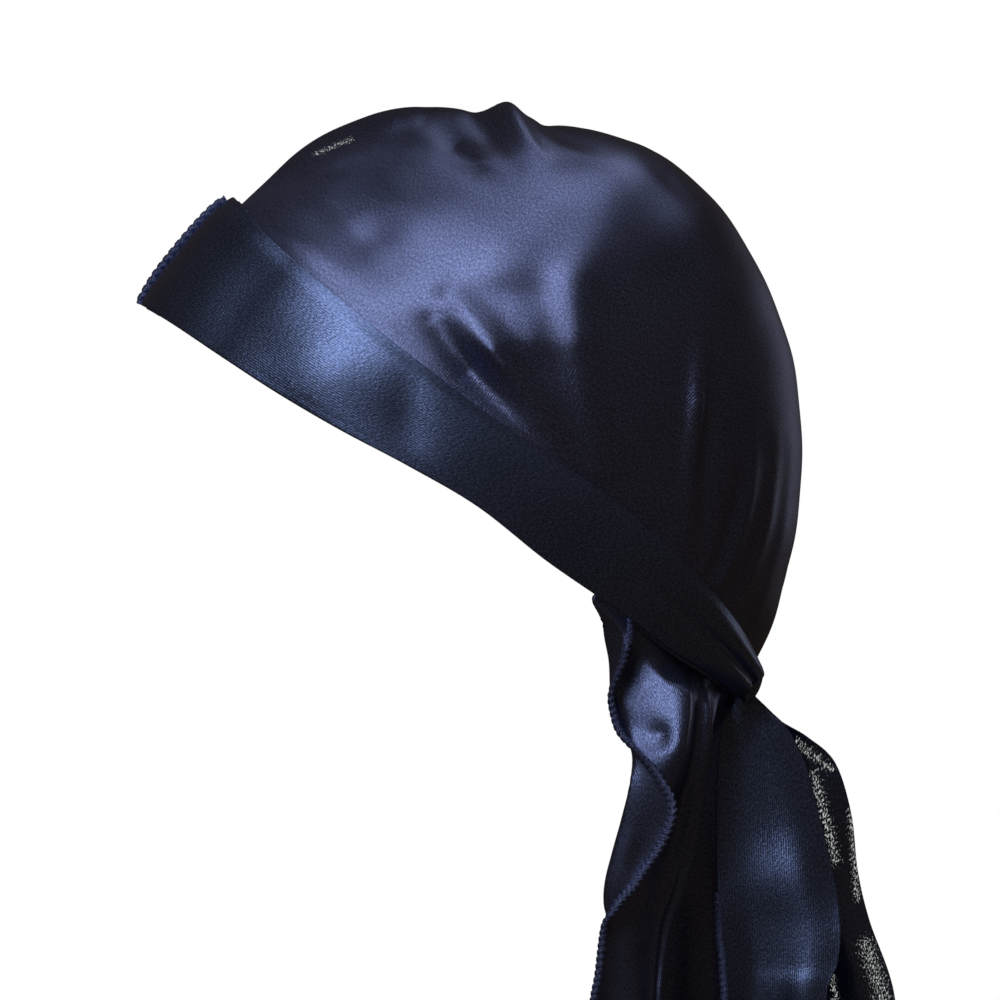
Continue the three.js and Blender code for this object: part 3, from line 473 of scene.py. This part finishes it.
def tie_creases(angle, run, v):
    """The turned hem's fine line near the lower edge, and towards the nape a valley across the middle of
    the tie that leaves a round roll above it. At the side there is a swell, a slanting dip behind it and a
    soft hollow before it, each of them exp(-d^2) of a distance from its line."""
    hem = -0.06 * np.exp(-(((v - 0.07) / 0.04) ** 2))
    rope = ease(np.abs(angle), 118, 146)
    rolls = rope * (0.9 * np.exp(-(((v - 0.78) / 0.14) ** 2)) - 1.5 * np.exp(-(((v - 0.5) / 0.08) ** 2)))
    swell = 1.0 * np.exp(-(((np.abs(run) - swell_at) / 16) ** 2)) * np.sin(np.pi * v)
    dip = 0.55 * np.exp(-(((np.abs(run) - dip_at - 16 * (0.5 - v)) / 7) ** 2)) * np.sin(np.pi * v)
    near = ease(-np.abs(np.abs(run) - 60), -40, 0)
    soft = 0.3 * np.exp(-(((v - 0.62 - 0.0016 * run) / 0.12) ** 2)) * near
    return hem + rolls + swell - (dip + soft)


def thickness(angle, v):
    """A tie's wall, which rolls up towards the nape to a round section, highest in its middle as
    sqrt(sin(pi v))."""
    roll = np.clip(round_loop(angle, "roll"), 0, 1)
    round_roll = (tie_roll - tie_wall) * roll * np.sqrt(np.clip(np.sin(np.pi * v), 0, 1))
    return tie_wall + round_roll - 1.2 * roll * ease(v, 0.75, 1)


def tie_weave(grid):
    """Places on a tie's cloth: across its width, and along it."""
    return np.stack([lengths_along(grid, 1), lengths_along(grid, 0)], -1)


v = np.linspace(0, 1, 44)[None]
v = 0.5 - 0.5 * np.cos(np.pi * v)
angle = np.linspace(-tie_end_angle, overlap_angle, 520)[:, None] + 0 * v
right_tie_grid = tie_surface(angle, v, thickness(angle, v), -1)
right_tie = cloth_piece("tie_right_wrap", right_tie_grid, tie_cloth, 1, tie_weave(right_tie_grid))
t = np.linspace(0, 1, 520)[:, None]
start = mix(crossing["bottom"], crossing["top"], v)
angle = mix(start, tie_end_angle, t)
over = (1 - ease(angle, overlap_angle + 6, overlap_angle + 20)) * (tie_wall + tie_seat)
left_tie_grid = tie_surface(angle, v, over + thickness(angle, v), 1)
left_tie = cloth_piece("tie_left_wrap", left_tie_grid, tie_cloth, 1, tie_weave(left_tie_grid))
brow_row, along_brow, brow_scale = 22, slice(1, 38), 1.7
brow_up = normals_of(left_tie_grid)[brow_row, along_brow]
brow = left_tie_grid[brow_row, along_brow] + brow_up * 0.3
brow_out = unit(left_tie_grid[brow_row - 6] - left_tie_grid[brow_row + 6])[along_brow]
brow_gap = -edge_half_width * brow_scale
brow_edge = overlocked_edge("brow_edge", brow, brow_out, brow_up, gap=brow_gap, pitch=3.0, scale=brow_scale)

# The knot
knot_width, knot_height, knot_depth, knot_up = 24.0, 16.0, 6.0, -4.0
# creases across the knot: depth as a share of the knot's, and place and width along the slant
knot_creases = [(0.16, 0.45, 0.1), (0.16, -0.35, 0.1), (0.06, 0.05, 0.07), (0.05, -0.75, 0.07)]


def knot_surface(columns, rows):
    """The wrap at the nape: a rounded block from a sphere's x, y, z each raised to the power 0.75, deeper
    at its foot, with slanting creases where x + 0.8 y passes four values."""
    a = np.linspace(0, 2 * np.pi, columns)[:, None]
    b = np.linspace(0.02, np.pi - 0.02, rows)[None]
    x, y, z = np.cos(a) * np.sin(b), np.cos(b) + 0 * a, np.sin(a) * np.sin(b)
    square = lambda value, power: np.sign(value) * np.abs(value) ** power
    slant = x + 0.8 * y
    crease = sum(depth * np.exp(-(((slant - at) / wide) ** 2)) for depth, at, wide in knot_creases)
    depth = knot_depth * (1 - 0.35 * y) * (1 - crease)
    along = half_loop + 0.35 + depth / 2 * (1 + square(z, 0.75))
    across = -knot_width / 2 * square(x, 0.75) * (1 - 0.3 * crease)
    return place(along, across, knot_up + knot_height / 2 * square(y, 0.75))


def closed_skin(name, grid):
    """A closed surface from a grid that comes back on itself round its first direction, with its two poles
    closed."""
    nu, nv = grid.shape[0] - 1, grid.shape[1]
    index = np.arange(nu * nv).reshape(nu, nv)
    ring = np.roll(index, -1, axis=0)
    faces = np.stack([index[:, :-1], ring[:, :-1], ring[:, 1:], index[:, 1:]], -1).reshape(-1, 4)
    points = np.concatenate([grid[:-1].reshape(-1, 3), [grid[:-1, 0].mean(0)], [grid[:-1, -1].mean(0)]])
    top, foot = nu * nv, nu * nv + 1
    caps = [
        np.stack([ring[:, 0], index[:, 0], np.full(nu, top)], -1),
        np.stack([index[:, -1], ring[:, -1], np.full(nu, foot)], -1),
    ]
    uv = np.stack([lengths_along(grid, 0), lengths_along(grid, 1)], -1)[:-1].reshape(-1, 2)
    uv = np.concatenate([uv, [[0, 0], [0, 0]]])
    return make_mesh(name, points, [faces, *caps], uv)


knot = closed_skin("knot_wrap", knot_surface(160, 90))

# The tail. Back is a share of half_loop, side a share of half_width, drop a share of tail_length below the
# ties.
tail_rows = table(
    "drop edge_back edge_side turn_back turn_side patch_back patch_side pleat_back pleat_side",
    [
        (0, 0.47, 0.885, 0.385, 0.83, 0.56, 0.66, 0.685, 0.43),
        (0.022, 0.47, 0.88, 0.39, 0.78, 0.575, 0.66, 0.685, 0.43),
        (0.05, 0.452, 0.85, 0.4, 0.73, 0.595, 0.67, 0.69, 0.43),
        (0.076, 0.442, 0.825, 0.415, 0.7, 0.61, 0.69, 0.695, 0.43),
        (0.113, 0.412, 0.8, 0.43, 0.71, 0.62, 0.74, 0.7, 0.43),
        (0.135, 0.416, 0.795, 0.452, 0.725, 0.62, 0.77, 0.7, 0.43),
        (0.157, 0.434, 0.8, 0.465, 0.74, 0.615, 0.795, 0.695, 0.435),
        (0.183, 0.487, 0.815, 0.476, 0.772, 0.605, 0.81, 0.69, 0.44),
        (0.213, 0.54, 0.825, 0.466, 0.797, 0.585, 0.79, 0.68, 0.45),
        (0.235, 0.568, 0.825, 0.455, 0.8, 0.565, 0.76, 0.67, 0.455),
        (0.265, 0.563, 0.818, 0.437, 0.792, 0.545, 0.72, 0.66, 0.46),
        (0.298, 0.524, 0.812, 0.415, 0.782, 0.52, 0.695, 0.645, 0.47),
        (0.332, 0.472, 0.8, 0.396, 0.768, 0.5, 0.68, 0.625, 0.485),
        (0.357, 0.423, 0.781, 0.396, 0.75, 0.487, 0.68, 0.605, 0.5),
        (0.38, 0.395, 0.769, 0.415, 0.725, 0.478, 0.685, 0.58, 0.52),
        (0.424, 0.381, 0.756, 0.418, 0.715, 0.475, 0.69, 0.56, 0.54),
        (0.469, 0.365, 0.75, 0.405, 0.698, 0.48, 0.686, 0.548, 0.56),
        (0.557, 0.372, 0.744, 0.41, 0.682, 0.478, 0.664, 0.548, 0.55),
        (0.63, 0.4, 0.75, 0.381, 0.685, 0.472, 0.65, 0.552, 0.54),
        (0.705, 0.425, 0.752, 0.367, 0.682, 0.465, 0.64, 0.56, 0.535),
        (0.78, 0.405, 0.745, 0.367, 0.694, 0.453, 0.632, 0.566, 0.53),
        (0.853, 0.385, 0.73, 0.385, 0.681, 0.456, 0.642, 0.575, 0.53),
        (0.927, 0.37, 0.719, 0.407, 0.669, 0.46, 0.644, 0.58, 0.53),
        (1, 0.372, 0.712, 0.416, 0.662, 0.46, 0.64, 0.584, 0.525),
    ],
)
pleat_push = 0.014
right_shift = 0.025
right_back = 0.05
far_tail_angle = 124.0
# the sewn edge is turned over at the top: degrees round the loop past the first fold, by the share of the
# half's width
turned_at, turned_by = [0, 0.1, 0.2, 0.34], [8.5, 0.5, 5.5, 20.4]
# dents in the patch below the tie, which catch the light: depth, back and drop, and their sizes as shares
tail_dents = [(1.4, 0.542, 0.163, 0.03, 0.014), (1.8, 0.47, 0.29, 0.045, 0.032)]
edge_stand_out = 1.3
row_crowding = 1.3
under_tie = 0.1


def tail_curve(drop):
    """The places of the cloth's nine named columns at a drop, as (across, back, side) fields."""
    at = {name: through(tail_rows["drop"], tail_rows[name], drop) for name in tail_rows if name != "drop"}

    def between(share, push):
        back = mix(at["patch_back"], at["pleat_back"], share) + push
        return back, mix(at["patch_side"], at["pleat_side"], share) + push

    whole = np.ones_like(drop)
    push = pleat_push * (1 - 0.85 * ease(drop, 0.26, 0.38))
    return [
        (0, at["edge_back"], at["edge_side"]),
        (0.18, at["turn_back"], at["turn_side"]),
        (0.4, at["patch_back"], at["patch_side"]),
        (0.47, *between(0.5, -push)),
        (0.54, *between(0.66, push)),
        (0.61, *between(0.8, -push)),
        (0.69, at["pleat_back"], at["pleat_side"]),
        (0.79, at["pleat_back"] - 0.055, 0.31 * whole),
        (0.89, mix(at["pleat_back"], 0.66, 0.75), 0.16 * whole),
        (0.95, 0.7 * whole, 0.075 * whole),
        (1, 0.735 * whole, 0 * whole),
    ]


def tail_half(half, down, side):
    """Half of the tail: half runs from its sewn edge (0) to the nape (1) and down from the seam under the
    ties to the hem. It leaves the loop's outline below the tie and eases into a curtain drawn through its
    named columns, pushed in by the dents' exp(-(back / size)^2 - (drop / size)^2)."""
    first = tail_angle if side > 0 else far_tail_angle
    turned = first + through(turned_at, turned_by, half)
    angle = np.where(half < turned_at[-1], turned, mix(tail_angle, 180, half))
    along, out = outline(angle)
    out = out + edge_stand_out * (1 - ease(half, 0.02, 0.12))
    leave = tie_bottom(angle) - 1
    top = place(along, side * out, mix(tail_seam_up, leave, np.clip(down / under_tie, 0, 1)))
    start = place(along, side * out, leave)
    tail_top = place(outline(np.array(tail_angle))[0], 0, tie_bottom(np.array(tail_angle)))[..., 2]
    fall = np.clip((down - under_tie) / (1 - under_tie), 0, 1) ** row_crowding
    z = mix(start[..., 2], tail_top - tail_length, fall)
    drop = np.clip((tail_top - z) / tail_length, 0, 1)
    if side < 0:
        drop = mix(drop, np.maximum(drop - right_shift, 0), ease(drop, 0.06, 0.2))
    curve = tail_curve(drop)
    across = [c[0] for c in curve]
    half_field = half + 0 * drop
    further = 0 if side > 0 else right_back * (1 - half_field) ** 2
    y = half_loop * (through(across, np.stack([c[1] for c in curve]), half_field) + further)
    x = side * half_width * through(across, np.stack([c[2] for c in curve]), half_field)
    in_patch, in_flap = [
        depth * np.exp(-(((y / half_loop - at_back) / back_size) ** 2) - ((drop - at_drop) / drop_size) ** 2)
        for depth, at_back, at_drop, back_size, drop_size in tail_dents
    ]
    x = x - side * (in_patch + in_flap * ease(half, 0.12, 0))
    settle = through([0, 0.12, 0.3, 1], [0.03, 0.035, 0.035, 0.06], half)
    weight = ease((start[..., 2] - z) / tail_length, 0, settle)
    hang = np.stack([mix(start[..., 0], x, weight), mix(start[..., 1], y, weight), z], -1)
    return np.where((down <= under_tie)[..., None] & np.ones_like(hang, bool), top, hang)


def tail_grid(columns, rows):
    """The whole tail: its left half from the sewn edge to the nape, and on round its right half."""
    down = np.linspace(0, 1, rows)[None]
    half = np.linspace(0, 1, columns)[:, None]
    left = tail_half(half, down, 1)
    right = tail_half(half[::-1][1:], down, -1)
    return np.concatenate([left, right])


tail_shape = tail_grid(125, 200)
tail = cloth_piece("tail_cloth", tail_shape, cloth, -1)
tail_edge = overlocked_edge("tail_edge", *border(tail_shape, cloth, -1, 18, 18), **sewn_edge)

# The hanging ends of the ties
end_rows = {
    1: [
        (0.76, -0.03, 0.8, -0.03, 0.1, 0.12, 0.13, 0.12, 0.1),
        (0.728, 0.03, 0.868, 0.006, 0.155, 0.148, 0.14, 0.125, 0.105),
        (0.717, 0.09, 0.917, 0.034, 0.168, 0.16, 0.15, 0.135, 0.11),
        (0.713, 0.14, 0.965, 0.087, 0.185, 0.176, 0.166, 0.152, 0.125),
        (0.712, 0.2, 1.005, 0.17, 0.2, 0.194, 0.191, 0.183, 0.152),
        (0.714, 0.27, 1.04, 0.254, 0.208, 0.211, 0.23, 0.238, 0.2),
        (0.72, 0.334, 1.058, 0.333, 0.232, 0.215, 0.236, 0.262, 0.262),
        (0.728, 0.39, 1.048, 0.39, 0.262, 0.219, 0.241, 0.28, 0.283),
        (0.735, 0.44, 1.018, 0.44, 0.28, 0.222, 0.245, 0.294, 0.298),
        (0.74, 0.56, 1.03, 0.56, 0.29, 0.212, 0.242, 0.292, 0.3),
        (0.735, 0.7, 1.05, 0.7, 0.27, 0.2, 0.23, 0.27, 0.25),
        (0.73, 0.85, 1.055, 0.83, 0.25, 0.2, 0.23, 0.25, 0.22),
        (0.735, 1, 1.05, 0.93, 0.24, 0.2, 0.22, 0.23, 0.2),
    ],
    -1: [
        (0.76, -0.03, 0.8, -0.03, 0.1, 0.12, 0.13, 0.12, 0.1),
        (0.737, 0.04, 0.894, 0.02, 0.15, 0.15, 0.16, 0.15, 0.13),
        (0.743, 0.1, 0.982, 0.05, 0.17, 0.15, 0.19, 0.16, 0.14),
        (0.752, 0.146, 1.06, 0.09, 0.22, 0.17, 0.23, 0.16, 0.18),
        (0.761, 0.204, 1.106, 0.17, 0.24, 0.18, 0.25, 0.15, 0.2),
        (0.77, 0.272, 1.126, 0.262, 0.25, 0.19, 0.26, 0.16, 0.21),
        (0.788, 0.34, 1.16, 0.34, 0.26, 0.22, 0.26, 0.17, 0.22),
        (0.83, 0.447, 1.23, 0.451, 0.28, 0.26, 0.24, 0.19, 0.22),
        (0.825, 0.58, 1.245, 0.58, 0.29, 0.24, 0.2, 0.22, 0.2),
        (0.81, 0.72, 1.22, 0.72, 0.27, 0.2, 0.22, 0.23, 0.18),
        (0.8, 0.86, 1.2, 0.85, 0.25, 0.19, 0.24, 0.2, 0.18),
        (0.805, 0.94, 1.19, 1, 0.23, 0.2, 0.22, 0.19, 0.18),
    ],
}
knot_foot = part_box("knot")[0][2] / MM + 2.0


def tie_end_grid(side, columns, rows):
    """A tie's hanging end: down each of its two edges run back and drop from the knot, and across it five
    places to the side make its curl; all are drawn through the table's rows."""
    row = table("front_back front_drop back_back back_drop x0 x1 x2 x3 x4", end_rows[side])
    n = np.linspace(0, 1, len(row["x0"]))
    down = np.linspace(0, 1, rows)[None]
    across = np.linspace(0, 1, columns)[:, None]
    at = {name: through(n, row[name], down + 0 * across) for name in row}
    x = through(np.linspace(0, 1, 5), np.stack([at[f"x{k}"] for k in range(5)]), across + 0 * down)
    y = half_loop * mix(at["front_back"], at["back_back"], across)
    z = knot_foot - tie_end_length * mix(at["front_drop"], at["back_drop"], across)
    return np.stack([side * half_width * x, y, z], -1)


# Where pale grains of painted light glow on the cloth, standing in for daylight through the weave: pieces of
# a line in the row's y and z, in metres, with a half-width
painted_glint_lines = {
    "right": [
        (0.1078, -0.0899, 0.1185, -0.0983, 0.0022),
        (0.1132, -0.1006, 0.1198, -0.1274, 0.003),
        (0.125, -0.1125, 0.1272, -0.1403, 0.0018),
        (0.1301, -0.1555, 0.1359, -0.1733, 0.0042),
        (0.1191, -0.1652, 0.1204, -0.1733, 0.0016),
    ],
    "cap": [(-0.0463, 0.0977, -0.0353, 0.1021, 0.0013)],
}


def paint_glints(piece, lines):
    """Writes the attribute that places the painted glints: at each point the largest of exp(-(d /
    half-width)^2), d being its distance from each line in the plane of y and z; only the face turned to the
    left has it."""
    count = len(piece.data.vertices)
    at = np.empty(count * 3, np.float32)
    piece.data.vertices.foreach_get("co", at)
    here = at.reshape(-1, 3)[:, 1:]
    most = np.zeros(count)
    for y0, z0, y1, z1, wide in lines:
        start, run = np.array([y0, z0]), np.array([y1 - y0, z1 - z0])
        ahead = np.clip((here - start) @ run / (run @ run), 0, 1)[:, None]
        apart = np.linalg.norm(here - start - ahead * run, axis=1)
        most = np.maximum(most, np.exp(-((apart / wide) ** 2)))
    facing = np.empty(count * 3, np.float32)
    piece.data.vertices.foreach_get("normal", facing)
    most *= facing.reshape(-1, 3)[:, 0] > 0.1
    # this attribute places painted glints, a glow standing in for daylight through the weave
    layer = piece.data.attributes.new("painted_glint_weight", "FLOAT", "POINT")
    layer.data.foreach_set("value", most.astype(np.float32))


ends = {}
for side, name in ((1, "left"), (-1, "right")):
    shape = tie_end_grid(side, 110, 260)
    piece = cloth_piece(f"tie_end_{name}_cloth", shape, cloth, -side)
    edge = overlocked_edge(f"tie_end_{name}_edge", *border(shape, cloth, -side, 112, 260), **sewn_edge)
    paint_glints(piece, painted_glint_lines.get(name, []))
    ends[name] = piece, edge, shape
paint_glints(left_cap, painted_glint_lines["cap"])


class Value:
    """A socket's output with arithmetic: each operator adds its Math node."""

    def __init__(self, shader, socket):
        self.shader, self.socket = shader, socket

    def maths(self, operation, *others):
        return self.shader.node("ShaderNodeMath", {"operation": operation}, *others)

    def __add__(self, other):
        return self.maths("ADD", self, other)

    def __sub__(self, other):
        return self.maths("SUBTRACT", self, other)

    def __rsub__(self, other):
        return self.maths("SUBTRACT", other, self)

    def __mul__(self, other):
        return self.maths("MULTIPLY", self, other)

    __radd__ = __add__
    __rmul__ = __mul__

    def sine(self):
        return self.maths("SINE", self)

    def between(self, low, high):
        """0 below low, 1 above high, and smooth between."""
        settings = {"interpolation_type": "SMOOTHSTEP"}
        return self.shader.node("ShaderNodeMapRange", settings, self, low, high, 0.0, 1.0)


class Finish:
    """A material in the making."""

    def __init__(self, name):
        self.material = bpy.data.materials.new(name)
        self.material.use_nodes = True
        self.tree = self.material.node_tree
        self.surface = self.tree.nodes["Principled BSDF"]

    def node(self, kind, settings, *values, out=0, **named):
        """A node of a type, with its settings set first, then its inputs by place or by name. Returns one
        of its outputs."""
        made = self.tree.nodes.new(kind)
        for key, value in settings.items():
            setattr(made, key, value)
        for key, value in [*enumerate(values), *named.items()]:
            if value is None:
                continue
            socket = made.inputs[key]
            if isinstance(value, Value):
                self.tree.links.new(value.socket, socket)
            else:
                socket.default_value = value
        return Value(self, made.outputs[out])

    def blend(self, amount, a, b):
        """The colour a where amount is 0 and b where it is 1."""
        made = self.tree.nodes.new("ShaderNodeMix")
        made.data_type = "RGBA"
        for place, value in ((0, amount), (6, a), (7, b)):
            if isinstance(value, Value):
                self.tree.links.new(value.socket, made.inputs[place])
            else:
                made.inputs[place].default_value = value if place == 0 else (*value, 1.0)
        return Value(self, made.outputs[2])

    def give(self, **inputs):
        """Sets the surface's inputs by name, with spaces for underscores."""
        for key, value in inputs.items():
            socket = self.surface.inputs[key.replace("_", " ")]
            if isinstance(value, Value):
                self.tree.links.new(value.socket, socket)
            else:
                socket.default_value = value
        return self.material


def satin(name, deep, bright, rough, drawn=0.0, turn=0.0):
    """Knitted satin: fine ribs along the cloth, an uneven grain that catches light in specks, and a slow
    drift of shade. Where the piece's attribute for painted glints says so, pale grains of painted light glow
    from the surface, standing in for daylight through the weave."""
    f = Finish(name)
    painted_glint_weight = f.node("ShaderNodeAttribute", {"attribute_name": "painted_glint_weight"}, out=2)
    weave = f.node("ShaderNodeUVMap", {"uv_map": "cloth"})
    across = f.node("ShaderNodeSeparateXYZ", {}, weave, out=0)
    drift = f.node("ShaderNodeTexNoise", {}, weave, Scale=28.0, Detail=3.0, Roughness=0.55)
    rib = (across * 8600.0 + drift * 3.0).sine() * 0.5 + 0.5
    stretched = f.node("ShaderNodeMapping", {}, weave, Scale=(1.0, 0.55, 1.0))
    grain = f.node("ShaderNodeTexNoise", {}, stretched, Scale=1900.0, Detail=2.0, Roughness=0.7)
    coarse = f.node("ShaderNodeTexNoise", {}, stretched, Scale=520.0, Detail=2.0, Roughness=0.5)
    speck = grain.between(0.35, 0.75)
    # painted light: a pale glow in grains where the glint attribute is high, standing in for daylight
    # through the weave
    painted_glint_mask = (grain + (painted_glint_weight - 0.5) * 0.22).between(0.6, 0.74) * painted_glint_weight.between(0.1, 0.4)
    painted_glint_colour = f.blend(painted_glint_mask, (0.0, 0.0, 0.0), (0.55, 0.57, 0.55))
    shade = speck * 0.75 + rib * 0.25 + (drift - 0.5) * 0.3
    colour = f.blend(shade, deep, bright)
    height = rib * 0.18 + grain * 1.0 + coarse * 0.35
    bump = f.node("ShaderNodeBump", {}, Height=height, Strength=0.5, Distance=0.0002)
    return f.give(
        Base_Color=colour,
        Roughness=rough + (drift - 0.5) * 0.08,
        Metallic=0.9,
        Specular_IOR_Level=0.3,
        Anisotropic=drawn,
        Anisotropic_Rotation=turn,
        Emission_Color=painted_glint_colour,
        Emission_Strength=1.0,
        Normal=bump,
    )


def thread(name, deep, bright):
    """Overlocking thread: twisted yarn with a soft shine; its colour is paler on the crests of the twist as
    a painted highlight, with random tone from the fuzz.
    """
    f = Finish(name)
    yarn = f.node("ShaderNodeUVMap", {"uv_map": "cloth"})
    round_it = f.node("ShaderNodeSeparateXYZ", {}, yarn, out=0)
    along = f.node("ShaderNodeSeparateXYZ", {}, yarn, out=1)
    twist = (along * 12000.0 + round_it * 7000.0).sine() * 0.5 + 0.5
    fuzz = f.node("ShaderNodeTexNoise", {}, yarn, Scale=1400.0, Detail=2.0)
    # painted highlight: the twist's crests are painted paler as glints, and the fuzz adds random tone
    colour = f.blend((twist * 0.5 + fuzz).between(0.45, 1.1), deep, bright)
    bump = f.node("ShaderNodeBump", {}, Height=twist + fuzz * 0.8, Strength=0.6, Distance=0.0003)
    return f.give(Base_Color=colour, Roughness=0.42, Metallic=0.6, Normal=bump)


cap_satin = satin("cap_satin_finish", (0.08, 0.1, 0.22), (0.34, 0.42, 0.84), 0.325, 0.7, 0.1)
tie_satin = satin("tie_satin_finish", (0.07, 0.1, 0.22), (0.3, 0.42, 0.86), 0.3)
tail_satin = satin("tail_satin_finish", (0.075, 0.1, 0.22), (0.32, 0.41, 0.86), 0.3)
edge_thread = thread("edge_thread_finish", (0.015, 0.022, 0.08), (0.32, 0.4, 0.85))

dressed = [
    (left_cap, cap_satin, "cap_satin", "cap_panel_left"),
    (right_cap, cap_satin, "cap_satin", "cap_panel_right"),
    (middle_seam, edge_thread, "cap_satin", "centre_seam"),
    (left_tie, tie_satin, "tie_satin", "tie_left"),
    (right_tie, tie_satin, "tie_satin", "tie_right"),
    (brow_edge, edge_thread, "edge_thread", "brow_edging"),
    (knot, tie_satin, "tie_satin", "knot"),
    (tail, tail_satin, "tail_satin", "tail"),
    (tail_edge, edge_thread, "edge_thread", "tail_edging"),
    (ends["left"][0], tie_satin, "tie_satin", "tie_end_left"),
    (ends["left"][1], edge_thread, "edge_thread", "tie_end_left_edging"),
    (ends["right"][0], tie_satin, "tie_satin", "tie_end_right"),
    (ends["right"][1], edge_thread, "edge_thread", "tie_end_right_edging"),
]
for piece, finish, slot, node in dressed:
    piece.data.materials.append(finish)
    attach(piece, "root")
    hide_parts(node)


def cut_size(grid):
    """The cloth of a grid laid flat: its mean width and length, and its area, all in metres."""
    width, length = lengths_along(grid, 0)[-1].mean() * MM, lengths_along(grid, 1)[:, -1].mean() * MM
    across = np.linalg.norm(np.cross(np.diff(grid, axis=0)[:, :-1], np.diff(grid, axis=1)[:-1]), axis=-1)
    return (float(width), float(length)), float(across.sum() * MM**2)


cloths = [
    (left_cap, left_shape, "stretched", ["tie_left"], []),
    (right_cap, right_shape, "stretched", ["tie_right"], []),
    (left_tie, left_tie_grid, "stretched", ["cap_panel_left"], [brow_edge]),
    (right_tie, right_tie_grid, "stretched", ["cap_panel_right"], []),
    (tail, tail_shape, "hung", ["cap_panel_left", "cap_panel_right"], [tail_edge]),
    (ends["left"][0], ends["left"][2], "hung", ["knot"], [ends["left"][1]]),
    (ends["right"][0], ends["right"][2], "hung", ["knot"], [ends["right"][1]]),
]
for piece, grid, held, rests_on, with_pieces in cloths:
    flat, area = cut_size(grid)
    print("cloth", piece.name, "width %.3f length %.3f area %.4f" % (*flat, area))
    area = min(area, flat[0] * flat[1])

# Studio: a pale floor below, soft square lights round the object, and a bright background for the camera
# alone
floor_radius, floor_level = 1.5, -0.34
floor_mesh = bpy.data.meshes.new("floor")
a = np.linspace(0, 2 * np.pi, 96, endpoint=False)
rim = np.stack([floor_radius * np.cos(a), floor_radius * np.sin(a), np.full(len(a), floor_level)], -1)
floor_mesh.from_pydata(rim.tolist(), [], [list(range(len(a)))])
floor = bpy.data.objects.new("floor", floor_mesh)
bpy.context.collection.objects.link(floor)
paint = Finish("floor_paint")
pale = paint.give(
    Base_Color=(0.82, 0.84, 0.86, 1.0),
    Roughness=0.7,
    Emission_Color=(0.8, 0.81, 0.83, 1.0),
    Emission_Strength=0.55,
)
floor_mesh.materials.append(pale)
floor.visible_glossy = False
floor.visible_diffuse = False

world = bpy.data.worlds.new("studio")
bpy.context.scene.world = world
world.use_nodes = True
sky = world.node_tree
sky.nodes.clear()
seen = sky.nodes.new("ShaderNodeBackground")
seen.inputs[0].default_value = (1.0, 1.0, 1.0, 1.0)
seen.inputs[1].default_value = 1.0
soft = sky.nodes.new("ShaderNodeBackground")
soft.inputs[0].default_value = (1.0, 0.66, 0.38, 1.0)
soft.inputs[1].default_value = 0.035
paths = sky.nodes.new("ShaderNodeLightPath")
either = sky.nodes.new("ShaderNodeMixShader")
output = sky.nodes.new("ShaderNodeOutputWorld")
sky.links.new(paths.outputs["Is Camera Ray"], either.inputs[0])
sky.links.new(soft.outputs[0], either.inputs[1])
sky.links.new(seen.outputs[0], either.inputs[2])
sky.links.new(either.outputs[0], output.inputs[0])


def soft_light(name, rise, turn, size, power):
    """A square area light that faces the object from light_distance: rise degrees above the level and turn
    degrees from +X towards the brow."""
    data = bpy.data.lights.new(name, "AREA")
    data.shape, data.size, data.size_y = "RECTANGLE", *size
    data.energy = power
    light = bpy.data.objects.new(name, data)
    bpy.context.collection.objects.link(light)
    e, a = np.radians(rise), np.radians(turn)
    where = light_distance * np.array([np.cos(e) * np.cos(a), -np.cos(e) * np.sin(a), np.sin(e)])
    light.location = where
    light.rotation_mode = "QUATERNION"
    light.rotation_quaternion = Vector(light_target - where).to_track_quat("-Z", "Y")


light_distance = 1.3
light_target = np.array([0.0, 0.0, 0.02])
for name, rise, turn, size, power in (
    ("key", 58, 8, (0.4, 0.4), 1.35),
    ("middle", 42, 10, (0.38, 0.38), 0.95),
    ("front", 25, 25, (0.5, 0.38), 1.7),
    ("top", 78, -90, (0.4, 0.4), 0.75),
    ("back", 58, -135, (0.6, 0.4), 0.6),
    ("rim", 5, -138, (0.4, 0.6), 0.22),
    ("low", 5, 20, (0.38, 0.38), 0.15),
):
    soft_light(name, rise, turn, size, power)

bpy.context.scene.view_settings.view_transform = "Standard"

camera_distance, picture_width, sensor = 1.7, 0.32, 36.0
view = bpy.data.cameras.new("view")
view.sensor_fit, view.sensor_width = "HORIZONTAL", sensor
view.lens = sensor * camera_distance / picture_width
view.clip_start, view.clip_end = 0.05, 20.0
camera = bpy.data.objects.new("view", view)
bpy.context.collection.objects.link(camera)
camera.location = (camera_distance, 0.01184, -0.01171)
camera.rotation_euler = (np.pi / 2, 0.0, np.pi / 2)
bpy.context.scene.camera = camera
